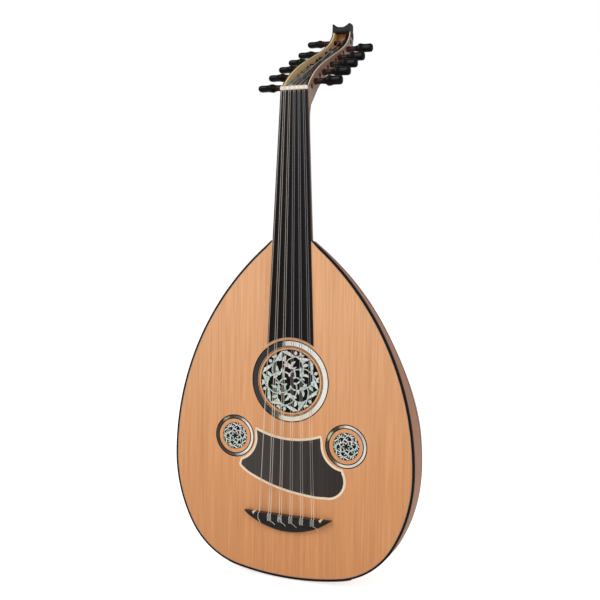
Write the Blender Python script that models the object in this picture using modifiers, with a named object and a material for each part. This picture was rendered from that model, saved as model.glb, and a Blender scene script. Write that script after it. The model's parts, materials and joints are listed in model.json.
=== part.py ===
"""An oud: a fretless short-necked lute with a ribbed bowl and eleven strings.

Frame, in metres: the soundboard's outer face is the plane y = 0 and faces -Y, +Z runs along the
strings from the tail to the pegbox, +X is the treble side, and the origin is on the centre line
at the tail.
"""
import math

import bmesh
import bpy
from mathutils import Matrix, Vector

MM = 0.001
GAP = 0.3 * MM                    # between pieces that touch, or that one another cuts

# Body outline: four arcs a side, from the tail to the neck
TAIL_ARC = (400 * MM, 0.0, 11.0)          # radius, start and end of its turn in degrees
CORNER_ARC = (110 * MM, 11.0, 60.0)
SIDE_ARC = (202 * MM, 60.0, 90.0)
SHOULDER_RADIUS = 393 * MM
BODY_LENGTH = 468 * MM
BOARD_THICKNESS = 2.0 * MM
BINDING_WIDTH = 2.2 * MM

RIB_COUNT = 15
BOWL_RISE = 17 * MM           # its round section stands this far behind the soundboard at its widest
RIB_THICKNESS = 3.0 * MM
RIB_SEAM = 0.15 * MM              # half of the gap between two ribs
BOWL_PLANE = BOARD_THICKNESS + GAP        # y of the bowl's rim
TAIL_POINT_RADIUS = 8 * MM        # the ribs stop this far from the tail's centre line

NECK_TOP = 670.5 * MM
NUT_FRONT = 671.5 * MM
NUT_BACK = 676.8 * MM
TAPER = 0.0442                    # half-width lost per metre of height, on neck and pegbox
HALF_WIDTH_AT_NUT = 19.4 * MM
FINGERBOARD_PROUD = 1.2 * MM
FINGERBOARD_BACK = 2.8 * MM
FINGERBOARD_END = 325.7 * MM

# The side view of the pegbox: (y, z) along its front rim and its back, in mm
RIM = [(14, 688), (31, 701), (60, 717.5), (100, 736), (138, 753), (167, 769), (182, 783)]
BACK = [(3.1, 644), (24, 664.5), (45.5, 684), (80.5, 706.5), (118, 722.5), (155, 738.5),
        (181, 754), (196, 771), (201, 785)]
PEGBOX_FRONT = 3.1 * MM
PEGBOX_END = 791.5 * MM
CHEEK_THICKNESS = 3.0 * MM
FLOOR_THICKNESS = 3.5 * MM

# Peg centres (y, z) in mm from the nut to the far end: bass, treble, bass and so on
PEG_CENTRES = [(18, 678.5), (29, 687), (50.5, 699), (63.5, 706), (84, 717), (95.5, 723),
               (118, 734), (130, 740), (153.5, 752.3), (170.5, 761), (189, 776)]
SHAFT_RADIUS = 3.4 * MM
SHAFT_TIP_RADIUS = 3.0 * MM
SHAFT_CLEARANCE = 0.4 * MM
COLLAR_GAP = 0.8 * MM
SHANK_LENGTH = 17 * MM
HEAD_LENGTH = 23 * MM

BIG_HOLE = (0.0, 275.6 * MM)
SMALL_HOLE_X = 83 * MM
SMALL_HOLE_Z = 192.6 * MM
BIG_ROSE_RADIUS = 43.8 * MM
SMALL_ROSE_RADIUS = 18.8 * MM
BIG_RING = (46.8 * MM, 56 * MM)
SMALL_RING = (24.3 * MM, 29.5 * MM)
RING_THICKNESS = 0.8 * MM
ROSE_THICKNESS = 1.5 * MM

BRIDGE_FRONT = 89.5 * MM
BRIDGE_HALF_LENGTH = 65 * MM
BRIDGE_DEPTH = 23.5 * MM
BRIDGE_HEIGHT = 9 * MM
STRING_HEIGHT = 7.6 * MM

# Strings from bass to treble: x at the nut and at the bridge in mm, and diameter in mm
STRINGS = [(-16.6, -40.3, 1.0), (-13.4, -26.0, 0.9), (-11.0, -22.8, 0.9), (-6.4, -10.0, 0.8),
           (-4.0, -6.8, 0.8), (0.4, 6.0, 0.7), (2.8, 9.2, 0.7), (7.2, 22.0, 0.7),
           (9.6, 25.2, 0.7), (14.2, 38.0, 0.65), (16.6, 41.2, 0.65)]
NUT_TOP = -2.8 * MM

BRACE_HEIGHTS = [140 * MM, 222 * MM, 348 * MM]
BRACE_WIDTH = 5 * MM
BRACE_DEPTH = 11 * MM

BLACK = (0.012, 0.010, 0.009)
CEDAR = (0.665, 0.352, 0.174)
MAPLE = (0.62, 0.37, 0.20)
ROSEWOOD = (0.20, 0.085, 0.045)
BONE = (0.88, 0.82, 0.70)
PEARL = (0.75, 0.80, 0.74)
STEEL = (0.62, 0.62, 0.64)
SPRUCE = (0.70, 0.52, 0.32)


# ---------------------------------------------------------------- tools

def clear_scene():
    for item in list(bpy.data.objects):
        bpy.data.objects.remove(item)


def collection(name):
    group = bpy.data.collections.new(name)
    bpy.context.scene.collection.children.link(group)
    return group


def finish(item, colour, roughness, metallic=0.0, sharp_degrees=35):
    """Give a piece its own material and smooth shading."""
    material = bpy.data.materials.new(item.name)
    material.use_nodes = True
    shader = material.node_tree.nodes["Principled BSDF"]
    shader.inputs["Base Color"].default_value = (*colour, 1)
    shader.inputs["Roughness"].default_value = roughness
    shader.inputs["Metallic"].default_value = metallic
    item.data.materials.clear()
    item.data.materials.append(material)
    if item.type == "MESH":
        item.data.shade_smooth()
        item.data.set_sharp_from_angle(angle=math.radians(sharp_degrees))
    return item


def add_mesh(name, mesh, group):
    item = bpy.data.objects.new(name, mesh)
    group.objects.link(item)
    return item


def smooth_path(points, steps=3):
    """A Catmull-Rom curve through the given points."""
    ends = [points[0].lerp(points[1], -1), *points, points[-1].lerp(points[-2], -1)]
    path = []
    for a, b, c, d in zip(ends, ends[1:], ends[2:], ends[3:]):
        for step in range(steps):
            t = step / steps
            path.append(0.5 * (2 * b + (c - a) * t + (2 * a - 5 * b + 4 * c - d) * t ** 2
                               + (3 * b - a - 3 * c + d) * t ** 3))
    path.append(points[-1])
    return path


def arc(centre, radius, start, end, count):
    """Points of an arc, its angles in degrees."""
    angles = [math.radians(start + (end - start) * i / count) for i in range(count + 1)]
    return [Vector((centre[0] + radius * math.cos(a), centre[1] + radius * math.sin(a)))
            for a in angles]


def circle(centre, radius, count):
    return arc(centre, radius, 0, 360, count)[:-1]


def flat_piece(name, outlines, low, high, group, place=None):
    """A plate from outlines in (x, z), filling y from low to high. Later outlines are holes."""
    curve = bpy.data.curves.new(name, "CURVE")
    curve.dimensions = "2D"
    curve.fill_mode = "BOTH"
    curve.extrude = (high - low) / 2
    for outline in outlines:
        spline = curve.splines.new("POLY")
        spline.points.add(len(outline) - 1)
        for point, (x, z) in zip(spline.points, outline):
            point.co = (x, z, 0, 1)
        spline.use_cyclic_u = True
    guide = bpy.data.objects.new(name + "_outline", curve)
    group.objects.link(guide)
    mesh = bpy.data.meshes.new_from_object(guide.evaluated_get(bpy.context.evaluated_depsgraph_get()))
    bpy.data.objects.remove(guide)
    work = bmesh.new()
    work.from_mesh(mesh)
    bmesh.ops.remove_doubles(work, verts=work.verts, dist=0.00001)
    upright = Matrix.Translation((0, (low + high) / 2, 0)) @ Matrix.Rotation(math.pi / 2, 4, "X")
    work.transform(place @ upright if place else upright)
    bmesh.ops.recalc_face_normals(work, faces=work.faces)
    work.to_mesh(mesh)
    work.free()
    mesh.name = name
    return add_mesh(name, mesh, group)


def loft(name, sections, group):
    """A closed body through rings of points with the same count."""
    mesh = bpy.data.meshes.new(name)
    work = bmesh.new()
    rings = [[work.verts.new(point) for point in section] for section in sections]
    for low, high in zip(rings, rings[1:]):
        for i in range(len(low)):
            j = (i + 1) % len(low)
            work.faces.new((low[i], low[j], high[j], high[i]))
    work.faces.new(rings[0])
    work.faces.new(rings[-1])
    bmesh.ops.recalc_face_normals(work, faces=work.faces)
    work.to_mesh(mesh)
    work.free()
    return add_mesh(name, mesh, group)


def cylinders(name, rods, group, sides):
    """One cutter of separate rods, each (start, end, start radius, end radius)."""
    mesh = bpy.data.meshes.new(name)
    work = bmesh.new()
    for start, end, radius_1, radius_2 in rods:
        along = end - start
        place = Matrix.Translation((start + end) / 2) @ along.to_track_quat("Z", "Y").to_matrix().to_4x4()
        bmesh.ops.create_cone(work, cap_ends=True, segments=sides, radius1=radius_1,
                              radius2=radius_2, depth=along.length, matrix=place)
    work.to_mesh(mesh)
    work.free()
    return hide(add_mesh(name, mesh, group))


def hide(cutter):
    cutter.hide_render = True
    cutter.display_type = "WIRE"
    return cutter


def boolean(item, other, operation="DIFFERENCE"):
    modifier = item.modifiers.new(other.name, "BOOLEAN")
    modifier.operation = operation
    modifier.object = other
    hide(other)


def bevel(item, width, segments=1):
    modifier = item.modifiers.new("edges", "BEVEL")
    modifier.width = width
    modifier.segments = segments
    modifier.limit_method = "ANGLE"
    modifier.angle_limit = math.radians(40)


def box(name, low, high, group):
    mesh = bpy.data.meshes.new(name)
    work = bmesh.new()
    size = Vector(high) - Vector(low)
    place = Matrix.Translation((Vector(high) + Vector(low)) / 2) @ Matrix.Diagonal((*size, 1))
    bmesh.ops.create_cube(work, size=1, matrix=place)
    work.to_mesh(mesh)
    work.free()
    return add_mesh(name, mesh, group)


# ---------------------------------------------------------------- the body's shape

def arc_chain(x, z, arcs, count):
    """Points (x, z) along joined arcs that turn from along the tail to along the side."""
    points = [Vector((x, z))]
    for radius, start, end in arcs:
        x0, z0 = points[-1]
        begin = math.radians(start)
        for i in range(1, count + 1):
            turn = math.radians(start + (end - start) * i / count)
            points.append(Vector((x0 + radius * (math.sin(turn) - math.sin(begin)),
                                  z0 + radius * (math.cos(begin) - math.cos(turn)))))
    return points


def body_half(count=5, shoulder_count=12):
    """The treble half of the outline, from the tail to the neck."""
    lower = arc_chain(0, 0, [TAIL_ARC, CORNER_ARC, SIDE_ARC], count)
    widest, level = lower[-1]
    shoulder = []
    for i in range(1, shoulder_count + 1):
        rise = (BODY_LENGTH - GAP / 2 - level) * i / shoulder_count
        inward = SHOULDER_RADIUS - math.sqrt(SHOULDER_RADIUS ** 2 - rise ** 2)
        shoulder.append(Vector((widest - inward, level + rise)))
    return lower + shoulder


def offset_path(path, distance):
    """The path moved sideways to its left, towards the inside of the body."""
    moved = []
    for i, point in enumerate(path):
        along = (path[min(i + 1, len(path) - 1)] - path[max(i - 1, 0)]).normalized()
        moved.append(point + Vector((-along.y, along.x)) * distance)
    return moved


def half_width(z):
    """Half the body's width at a height."""
    path = body_half(count=16, shoulder_count=40)
    for a, b in zip(path, path[1:]):
        if a.y <= z <= b.y:
            return a.x + (b.x - a.x) * (z - a.y) / (b.y - a.y)
    return path[-1].x


def outline(path):
    """A closed outline from a treble half."""
    bass = [Vector((-x, z)) for x, z in reversed(path) if x > 1e-6]
    return path + bass


def taper_half(z):
    """Half the width of the neck and the pegbox at a height."""
    return HALF_WIDTH_AT_NUT - TAPER * (z - NUT_FRONT)


# ---------------------------------------------------------------- body

def make_board(group, cutters):
    inner = offset_path(body_half(), BINDING_WIDTH + GAP)
    inner[0].x = 0
    inner[-1].y = BODY_LENGTH - GAP / 2
    board = flat_piece("soundboard", [outline(inner)], 0, BOARD_THICKNESS, group)
    holes = [(0, BIG_HOLE[1], BIG_ROSE_RADIUS), (SMALL_HOLE_X, SMALL_HOLE_Z, SMALL_ROSE_RADIUS),
             (-SMALL_HOLE_X, SMALL_HOLE_Z, SMALL_ROSE_RADIUS)]
    rods = [(Vector((x, -0.01, z)), Vector((x, 0.01, z)), r + GAP, r + GAP) for x, z, r in holes]
    boolean(board, cylinders("sound_holes", rods, cutters, 32))
    grooves = [(0, BIG_HOLE[1], BIG_RING), (SMALL_HOLE_X, SMALL_HOLE_Z, SMALL_RING),
               (-SMALL_HOLE_X, SMALL_HOLE_Z, SMALL_RING)]
    for i, (x, z, (inside, outside)) in enumerate(grooves):
        rings = [circle((x, z), outside + GAP, 32), circle((x, z), inside - GAP, 32)]
        groove = flat_piece(f"ring_groove_{i}", rings, -5 * MM, RING_THICKNESS + GAP, cutters)
        boolean(board, groove)
    finish(board, CEDAR, 0.45)


def make_binding(group):
    outer = body_half()
    inner = offset_path(outer, BINDING_WIDTH)
    inner[0].x = 0
    inner[-1].y = outer[-1].y
    mirrored = [Vector((-x, z)) for x, z in outer if x > 1e-6]
    mirrored_inner = [Vector((-x, z)) for x, z in inner if x > 1e-6]
    path = mirrored[::-1] + outer + inner[::-1] + mirrored_inner
    binding = flat_piece("edge_binding", [path], 0, BOARD_THICKNESS, group)
    finish(binding, BLACK, 0.35)


def bowl_rise(z):
    """How far the round of the bowl's section stands behind the soundboard at a height."""
    upper = min(max((345 * MM - z) / (150 * MM), 0), 1)
    lower = min(max((z - 14 * MM) / (36 * MM), 0), 1)
    return BOWL_RISE * upper ** 2 * (3 - 2 * upper) * lower ** 2 * (3 - 2 * lower)


def bowl_point(half, z, share, shift=0.0):
    """A point of the bowl, at a share of its section from side to side, moved along it by shift."""
    rise = bowl_rise(z)
    radius = math.hypot(half, rise)
    lean = math.atan2(rise, half)
    angle = share * (math.pi + 2 * lean) - lean
    middle = Vector((0, BOWL_PLANE + rise, z))
    across = Vector((-math.sin(angle), math.cos(angle), 0))
    return middle + Vector((math.cos(angle), math.sin(angle), 0)) * radius + across * shift


def make_ribs(group):
    outer = body_half(count=4, shoulder_count=9)
    inner = offset_path(outer, RIB_THICKNESS)
    first = Vector((TAIL_POINT_RADIUS, TAIL_POINT_RADIUS ** 2 / (2 * TAIL_ARC[0])))
    profile = [(first, first + Vector((0, RIB_THICKNESS)))] + list(zip(outer[2:], inner[2:]))
    for rib in range(RIB_COUNT):
        low, high = rib / RIB_COUNT, (rib + 1) / RIB_COUNT
        sections = []
        for out, back in profile:
            sections.append([bowl_point(out.x, out.y, low, RIB_SEAM),
                             bowl_point(out.x, out.y, high, -RIB_SEAM),
                             bowl_point(back.x, min(back.y, BODY_LENGTH - GAP / 2), high, -RIB_SEAM),
                             bowl_point(back.x, min(back.y, BODY_LENGTH - GAP / 2), low, RIB_SEAM)])
        shade = 1.0 if rib % 2 else 0.82
        colour = tuple(shade * c for c in MAPLE)
        finish(loft(f"rib_{rib + 1:02d}", sections, group), colour, 0.3)


def half_round(half, depth, z, top, squareness=2.0, count=12):
    """A section of the neck: flat at the front and rounded at the back."""
    points = []
    for i in range(count + 1):
        turn = math.pi * i / count
        across, back = math.cos(turn), math.sin(turn)
        points.append(Vector((math.copysign(abs(across) ** (2 / squareness), across) * half,
                              top + (depth - top) * back ** (2 / squareness), z)))
    return points


def make_blocks(group):
    under = BOWL_PLANE + 2 * GAP
    sections = []
    for z in (430 * MM, 440 * MM, 454 * MM, BODY_LENGTH - GAP):
        radius = half_width(z) - RIB_THICKNESS * 2
        sections.append(half_round(radius, radius, z, under))
    finish(loft("neck_block", sections, group), SPRUCE, 0.6)
    radius = 45 * MM
    floor = radius ** 2 / (2 * TAIL_ARC[0]) + RIB_THICKNESS + 2 * GAP
    sections = [half_round(radius, radius, z, under) for z in (floor, floor + 14 * MM)]
    finish(loft("tail_block", sections, group), SPRUCE, 0.6)


def make_braces(group):
    low = BOARD_THICKNESS + GAP
    for i, z in enumerate(BRACE_HEIGHTS):
        reach = half_width(z) - RIB_THICKNESS - 3 * MM
        shape = [Vector((-reach, low)), Vector((reach, low)), Vector((reach, low + 4 * MM)),
                 Vector((reach - 20 * MM, low + BRACE_DEPTH)), Vector((20 * MM - reach, low + BRACE_DEPTH)),
                 Vector((-reach, low + 4 * MM))]
        ends = [[Vector((x, y, level)) for x, y in shape]
                for level in (z - BRACE_WIDTH / 2, z + BRACE_WIDTH / 2)]
        finish(loft(f"brace_{i + 1}", ends, group), SPRUCE, 0.6)


def make_end_clasp(group):
    """The strip that wraps the tail end of the ribs, deepest at its middle."""
    thickness = 1.4 * MM
    reach, middle_depth, end_depth = 92 * MM, 26 * MM, 4 * MM
    sections = []
    for i in range(13):
        x = reach * (i / 6 - 1)
        depth = end_depth + (middle_depth - end_depth) * math.cos(x / reach * math.pi / 2) ** 1.5
        ring = []
        for y in (0, depth / 2, depth):
            ring.append(tail_surface(x, y, GAP + thickness))
        for y in (depth, depth / 2, 0):
            ring.append(tail_surface(x, y, 2 * GAP))
        sections.append(ring)
    finish(loft("end_clasp", sections, group), ROSEWOOD, 0.3)


def tail_surface(x, y, proud):
    """A point over the tail end of the bowl, at (x, BOWL_PLANE + y)."""
    radius = math.hypot(x, y)
    path = body_half(count=16)
    for a, b in zip(path, path[1:]):
        if a.x <= radius < b.x:
            along = (b - a).normalized()
            z = a.y + (b.y - a.y) * (radius - a.x) / (b.x - a.x)
            outward = Vector((along.y, -along.x)) * proud
            scale = (radius + outward.x) / radius if radius > 1e-6 else 1.0
            return Vector((x * scale, BOWL_PLANE + y * scale, z + outward.y))
    raise ValueError("the strip is wider than the body")


# ---------------------------------------------------------------- roses, rings, pickguard, bridge

def make_rose(name, x, z, radius, rows, group, cutters):
    rods = []
    for count, distance, hole in rows:
        for centre in circle((x, z), distance * radius, count):
            rods.append((Vector((centre.x, -0.01, centre.y)), Vector((centre.x, 0.01, centre.y)),
                         hole * radius, hole * radius))
    front = 0.3 * MM
    rose = flat_piece(name, [circle((x, z), radius, 32)], front, front + ROSE_THICKNESS, group)
    boolean(rose, cylinders(name + "_piercing", rods, cutters, 6))
    finish(rose, PEARL, 0.25)


def make_ring(name, x, z, radii, group):
    rings = [circle((x, z), radii[1], 32), circle((x, z), radii[0], 32)]
    finish(flat_piece(name, rings, -0.1 * MM, RING_THICKNESS, group), PEARL, 0.2)


def make_rosettes(group, cutters):
    full = [(1, 0, 0.1), (8, 0.36, 0.11), (14, 0.72, 0.11)]
    small = [(1, 0, 0.13), (8, 0.6, 0.16)]
    make_rose("rose_large", 0, BIG_HOLE[1], BIG_ROSE_RADIUS, full, group, cutters)
    make_ring("ring_large", 0, BIG_HOLE[1], BIG_RING, group)
    for side, x in (("bass", -SMALL_HOLE_X), ("treble", SMALL_HOLE_X)):
        make_rose(f"rose_{side}", x, SMALL_HOLE_Z, SMALL_ROSE_RADIUS, small, group, cutters)
        make_ring(f"ring_{side}", x, SMALL_HOLE_Z, SMALL_RING, group)


def pickguard_outline():
    """Hollowed round the three rings, with a slanting lower edge and a round treble corner."""
    top = arc((2.2 * MM, BIG_HOLE[1] + 49.5 * MM), 130 * MM, -113.7, -70.1, 10)
    treble = arc((SMALL_HOLE_X - 1.7 * MM, SMALL_HOLE_Z - 0.3 * MM), 33 * MM, 178, 265, 8)
    corner = arc((57 * MM, 143.7 * MM), 25 * MM, 30, -95, 8)
    slope = [Vector(point) * MM for point in ((38, 118.3), (2, 122.3), (-29.5, 129.9), (-57.9, 141),
                                              (-71.5, 149.8), (-74.3, 153.6))]
    bass = arc((-SMALL_HOLE_X, SMALL_HOLE_Z), 33.5 * MM, -71, 8, 8)
    return top + treble + corner + slope + bass


def make_pickguard(group):
    guard = flat_piece("pickguard", [pickguard_outline()], -0.9 * MM, -GAP, group)
    finish(guard, BLACK, 0.5)


def make_bridge(group):
    rise = BRIDGE_DEPTH
    radius = (BRIDGE_HALF_LENGTH ** 2 + rise ** 2) / (2 * rise)
    sections = []
    for i in range(17):
        x = 0.975 * BRIDGE_HALF_LENGTH * (i / 8 - 1)
        depth = math.sqrt(radius ** 2 - x ** 2) - (radius - rise)
        tail = BRIDGE_FRONT - depth
        height = BRIDGE_HEIGHT * (0.45 + 0.55 * min(1, depth / (0.35 * rise)))
        profile = [(-GAP, BRIDGE_FRONT), (-height, BRIDGE_FRONT), (-height, BRIDGE_FRONT - 0.4 * depth),
                   (-0.35 * height, tail), (-GAP, tail)]
        sections.append([Vector((x, y, z)) for y, z in profile])
    finish(loft("bridge", sections, group), BLACK, 0.4)


# ---------------------------------------------------------------- neck and pegbox

def make_neck(group, cutters):
    sections = []
    stations = [(468.15, 30.5, 2.0), (500, 28.5, 2.0), (560, 26, 2.0), (620, 25, 2.0),
                (640, 25.5, 2.2), (656, 28, 3.0), (664, 30, 4.0), (670.5, 31, 5.0)]
    for z, depth, squareness in stations:
        half = taper_half(z * MM) - 0.2 * MM
        sections.append(half_round(half, depth * MM, z * MM, FINGERBOARD_BACK + GAP, squareness))
    neck = loft("neck", sections, group)
    inside = taper_half(NUT_FRONT) - CHEEK_THICKNESS - GAP
    lip = box("nut_ledge", (-inside + 0.4 * MM, FINGERBOARD_BACK + GAP, NECK_TOP - 5 * MM),
              (inside - 0.4 * MM, 8 * MM, NUT_BACK), cutters)
    boolean(neck, lip, "UNION")
    for side in (-1, 1):
        room = flat_piece(f"cheek_seat_{side}", [seat_outline()], -CHEEK_THICKNESS - GAP, 20 * MM,
                          cutters, cheek_place(side))
        boolean(neck, room)
    finish(neck, MAPLE, 0.35)


def cheek_place(side):
    """Takes a plate drawn in (x, z), as (depth, height over the nut), to one cheek's outer plane.

    The plate's y runs outwards from that plane.
    """
    turn = Matrix(((0, side, 0, 0), (1, 0, 0, 0), (0, 0, 1, 0), (0, 0, 0, 1)))
    lean = Matrix.Rotation(-side * math.atan(TAPER), 4, "Y")
    return Matrix.Translation((side * HALF_WIDTH_AT_NUT, 0, NUT_FRONT)) @ lean @ turn


def side_view(points):
    """Points (y, z) in mm as vectors in metres, their height counted from the nut."""
    return [Vector((y * MM, z * MM - NUT_FRONT)) for y, z in points]


def seat_outline():
    back = [(y + 0.4, z - 0.4) for y, z in BACK[:3]]
    return side_view([(-1, 643.2), (-1, 720)] + [(60, 720)] + back[::-1])


def cheek_outline():
    rim = smooth_path(side_view([(PEGBOX_FRONT / MM, 677.2)] + RIM + [(186, PEGBOX_END / MM)]), 2)
    back = smooth_path(side_view(BACK + [(201.3, PEGBOX_END / MM)]), 2)
    return rim + back[::-1]


def make_cheeks(group, cutters):
    for side, name in ((-1, "bass"), (1, "treble")):
        cheek = flat_piece(f"pegbox_cheek_{name}", [cheek_outline()], -CHEEK_THICKNESS, 0, group,
                           cheek_place(side))
        rods = []
        for i, (y, z) in enumerate(PEG_CENTRES):
            head_side = 1 if i % 2 else -1
            reach = Vector((head_side * 30 * MM, 0, 0))
            centre = Vector((0, y * MM, z * MM))
            rods.append((centre + reach, centre - reach, SHAFT_RADIUS + SHAFT_CLEARANCE,
                         SHAFT_TIP_RADIUS + SHAFT_CLEARANCE - 0.1 * MM))
        boolean(cheek, cylinders(f"peg_holes_{name}", rods, cutters, 16))
        finish(cheek, ROSEWOOD, 0.35)


def make_floor(group):
    """The back of the pegbox, a bent strip between the two cheeks."""
    outer = smooth_path([Vector(point) * MM for point in BACK[1:]], 2)
    outer = [Vector((30.8, 670.8)) * MM] + [p for p in outer if p.y > 673 * MM]
    inner = offset_path(outer, FLOOR_THICKNESS)
    inner[0] = Vector((26.0, 670.8)) * MM
    sections = []
    for back, front in zip(outer, inner):
        section = []
        for sign, (y, z) in ((-1, back), (1, back), (1, front), (-1, front)):
            reach = taper_half(z) - CHEEK_THICKNESS - 1.3 * GAP
            section.append(Vector((sign * reach, y, z)))
        sections.append(section)
    finish(loft("pegbox_back", sections, group), ROSEWOOD, 0.4)


def make_finial(group):
    """The black carved cap on the pegbox end, with a point over each cheek."""
    half = taper_half(PEGBOX_END)
    shape = [(-half, 791.8), (half, 791.8), (half + 0.3 * MM, 797), (half, 806), (half - 4 * MM, 803.5),
             (4 * MM, 799.5), (-4 * MM, 799.5), (4 * MM - half, 803.5), (-half, 806),
             (-half - 0.3 * MM, 797)]
    finial = flat_piece("finial", [[(x, z * MM) for x, z in shape]], 184 * MM, 201.5 * MM, group)
    bevel(finial, 0.8 * MM)
    finish(finial, BLACK, 0.3)


def make_fingerboard(group, cutters):
    """Ebony over the neck, running on as a thin tongue over the soundboard to the large ring."""
    foot = 34 * MM
    end = FINGERBOARD_END
    dip = [Vector((point.x, point.y)) for point in arc(BIG_HOLE, 60.5 * MM, 55.6, 124.4, 8)]
    top = NUT_FRONT - GAP
    over_board = [Vector((-foot, end)), Vector((-taper_half(top), top)), Vector((taper_half(top), top)),
                  Vector((foot, end))]
    tongue = flat_piece("fingerboard", [over_board + dip], -FINGERBOARD_PROUD, -GAP, group)
    low = BODY_LENGTH + GAP / 2
    over_neck = [Vector((-taper_half(low), low)), Vector((-taper_half(top), top)),
                 Vector((taper_half(top), top)), Vector((taper_half(low), low))]
    body = flat_piece("fingerboard_body", [over_neck], -FINGERBOARD_PROUD * 0.5, FINGERBOARD_BACK, cutters)
    boolean(tongue, body, "UNION")
    finish(tongue, BLACK, 0.15)


def make_nut(group):
    half = HALF_WIDTH_AT_NUT + 0.2 * MM
    nut = box("nut", (-half, NUT_TOP, NUT_FRONT), (half, FINGERBOARD_BACK, NUT_BACK), group)
    bevel(nut, 0.5 * MM)
    finish(nut, BONE, 0.35)


# ---------------------------------------------------------------- pegs and strings

def make_pegs(group):
    for i, (y, z) in enumerate(PEG_CENTRES):
        side = 1 if i % 2 else -1
        name = f"peg_{'treble' if i % 2 else 'bass'}_{i // 2 + 1}"
        wall = taper_half(z * MM)
        face = wall + COLLAR_GAP
        head = face + SHANK_LENGTH
        # distance from the centre line, half breadth and flatness; bass heads are turned edge on
        stations = [(-wall - 0.3 * MM, SHAFT_TIP_RADIUS, 1), (face, SHAFT_RADIUS, 1),
                    (face + 0.8 * MM, 4.3 * MM, 1), (face + 2.2 * MM, 4.3 * MM, 1),
                    (face + 3 * MM, 3.9 * MM, 1), (head - 3 * MM, 3.7 * MM, 1),
                    (head - 1 * MM, 4.6 * MM, 0.95), (head + 3 * MM, 6.6 * MM, 0.75),
                    (head + 8 * MM, 6.2 * MM, 0.65), (head + 15 * MM, 5.6 * MM, 0.6),
                    (head + 21 * MM, 5.4 * MM, 0.55), (head + HEAD_LENGTH, 4.0 * MM, 0.4)]
        sections = []
        for x, radius, flatness in stations:
            depth, height = (flatness, 1) if side > 0 else (1, flatness)
            sections.append([Vector((side * x, radius * depth * math.sin(a), radius * height * math.cos(a)))
                             for a in (2 * math.pi * k / 12 for k in range(12))])
        peg = loft(name, sections, group)
        peg.location = (0, y * MM, z * MM)
        finish(peg, BLACK, 0.3)


def peg_of_string(index):
    """Outer strings go to the near pegs: six to the bass side, five to the treble side."""
    return 2 * index if index < 6 else 2 * (10 - index) + 1


def string_route(index):
    x_nut, x_bridge, thickness = (value * MM for value in STRINGS[index])
    radius = thickness / 2
    peg = Vector(PEG_CENTRES[peg_of_string(index)]) * MM
    over_nut = NUT_TOP - GAP - radius
    corner = Vector((over_nut, NUT_BACK + GAP + radius))
    reach = SHAFT_RADIUS + GAP + radius
    to_peg = peg - corner
    slope = math.atan2(to_peg.y, to_peg.x) + math.asin(reach / to_peg.length)
    x_peg = 0.7 * x_nut
    route = [Vector((x_bridge, -STRING_HEIGHT, BRIDGE_FRONT + GAP)),
             Vector((x_nut, over_nut, NUT_FRONT)), Vector((x_nut, corner.x, corner.y - 0.6 * MM)),
             Vector((x_nut, corner.x + 0.3 * MM, corner.y))]
    for turn in (0, 30, 60):
        angle = slope + math.pi / 2 - math.radians(turn)
        route.append(Vector((x_peg, peg.x + reach * math.cos(angle), peg.y + reach * math.sin(angle))))
    return route, radius


def make_strings(group):
    for index in range(len(STRINGS)):
        route, radius = string_route(index)
        curve = bpy.data.curves.new(f"string_{index + 1:02d}", "CURVE")
        curve.dimensions = "3D"
        curve.bevel_depth = radius
        curve.bevel_resolution = 2
        curve.use_fill_caps = True
        spline = curve.splines.new("POLY")
        spline.points.add(len(route) - 1)
        for point, place in zip(spline.points, route):
            point.co = (*place, 1)
        string = bpy.data.objects.new(curve.name, curve)
        group.objects.link(string)
        finish(string, STEEL, 0.3, metallic=0.8)


def main():
    clear_scene()
    oud = collection("oud")
    cutters = collection("cutters")
    make_board(oud, cutters)
    make_binding(oud)
    make_ribs(oud)
    make_blocks(oud)
    make_braces(oud)
    make_end_clasp(oud)
    make_rosettes(oud, cutters)
    make_pickguard(oud)
    make_bridge(oud)
    make_neck(oud, cutters)
    make_cheeks(oud, cutters)
    make_floor(oud)
    make_finial(oud)
    make_fingerboard(oud, cutters)
    make_nut(oud)
    make_pegs(oud)
    make_strings(oud)


main()
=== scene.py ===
import json
import math

import bmesh
import bpy
from mathutils import Matrix, Vector


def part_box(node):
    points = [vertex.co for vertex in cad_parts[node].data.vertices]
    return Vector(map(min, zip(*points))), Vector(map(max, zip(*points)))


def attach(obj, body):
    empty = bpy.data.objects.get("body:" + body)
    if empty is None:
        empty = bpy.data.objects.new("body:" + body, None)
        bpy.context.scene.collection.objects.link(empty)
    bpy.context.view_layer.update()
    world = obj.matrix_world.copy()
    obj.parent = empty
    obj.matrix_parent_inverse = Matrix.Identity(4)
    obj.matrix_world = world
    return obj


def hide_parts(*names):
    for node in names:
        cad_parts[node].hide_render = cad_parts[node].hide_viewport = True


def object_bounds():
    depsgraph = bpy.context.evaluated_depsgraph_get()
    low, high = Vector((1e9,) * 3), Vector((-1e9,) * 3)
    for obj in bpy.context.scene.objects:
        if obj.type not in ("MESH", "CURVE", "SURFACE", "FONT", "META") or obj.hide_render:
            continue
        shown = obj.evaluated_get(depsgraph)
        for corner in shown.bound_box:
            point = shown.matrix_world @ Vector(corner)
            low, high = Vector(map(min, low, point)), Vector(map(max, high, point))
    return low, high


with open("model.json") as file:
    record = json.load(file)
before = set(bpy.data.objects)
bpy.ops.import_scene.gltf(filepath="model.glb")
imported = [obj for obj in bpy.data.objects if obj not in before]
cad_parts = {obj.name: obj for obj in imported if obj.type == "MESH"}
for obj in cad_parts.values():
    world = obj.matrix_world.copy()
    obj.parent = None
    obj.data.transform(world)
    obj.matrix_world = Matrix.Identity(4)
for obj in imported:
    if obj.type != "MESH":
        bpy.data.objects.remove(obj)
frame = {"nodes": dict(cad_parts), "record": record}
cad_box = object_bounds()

MM = 0.001
BODY = "body"
SIDES = {"bass": -1, "treble": 1}
JOINTS = {joint["child"]: joint for joint in frame["record"]["behaviour"]["joints"]}


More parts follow.
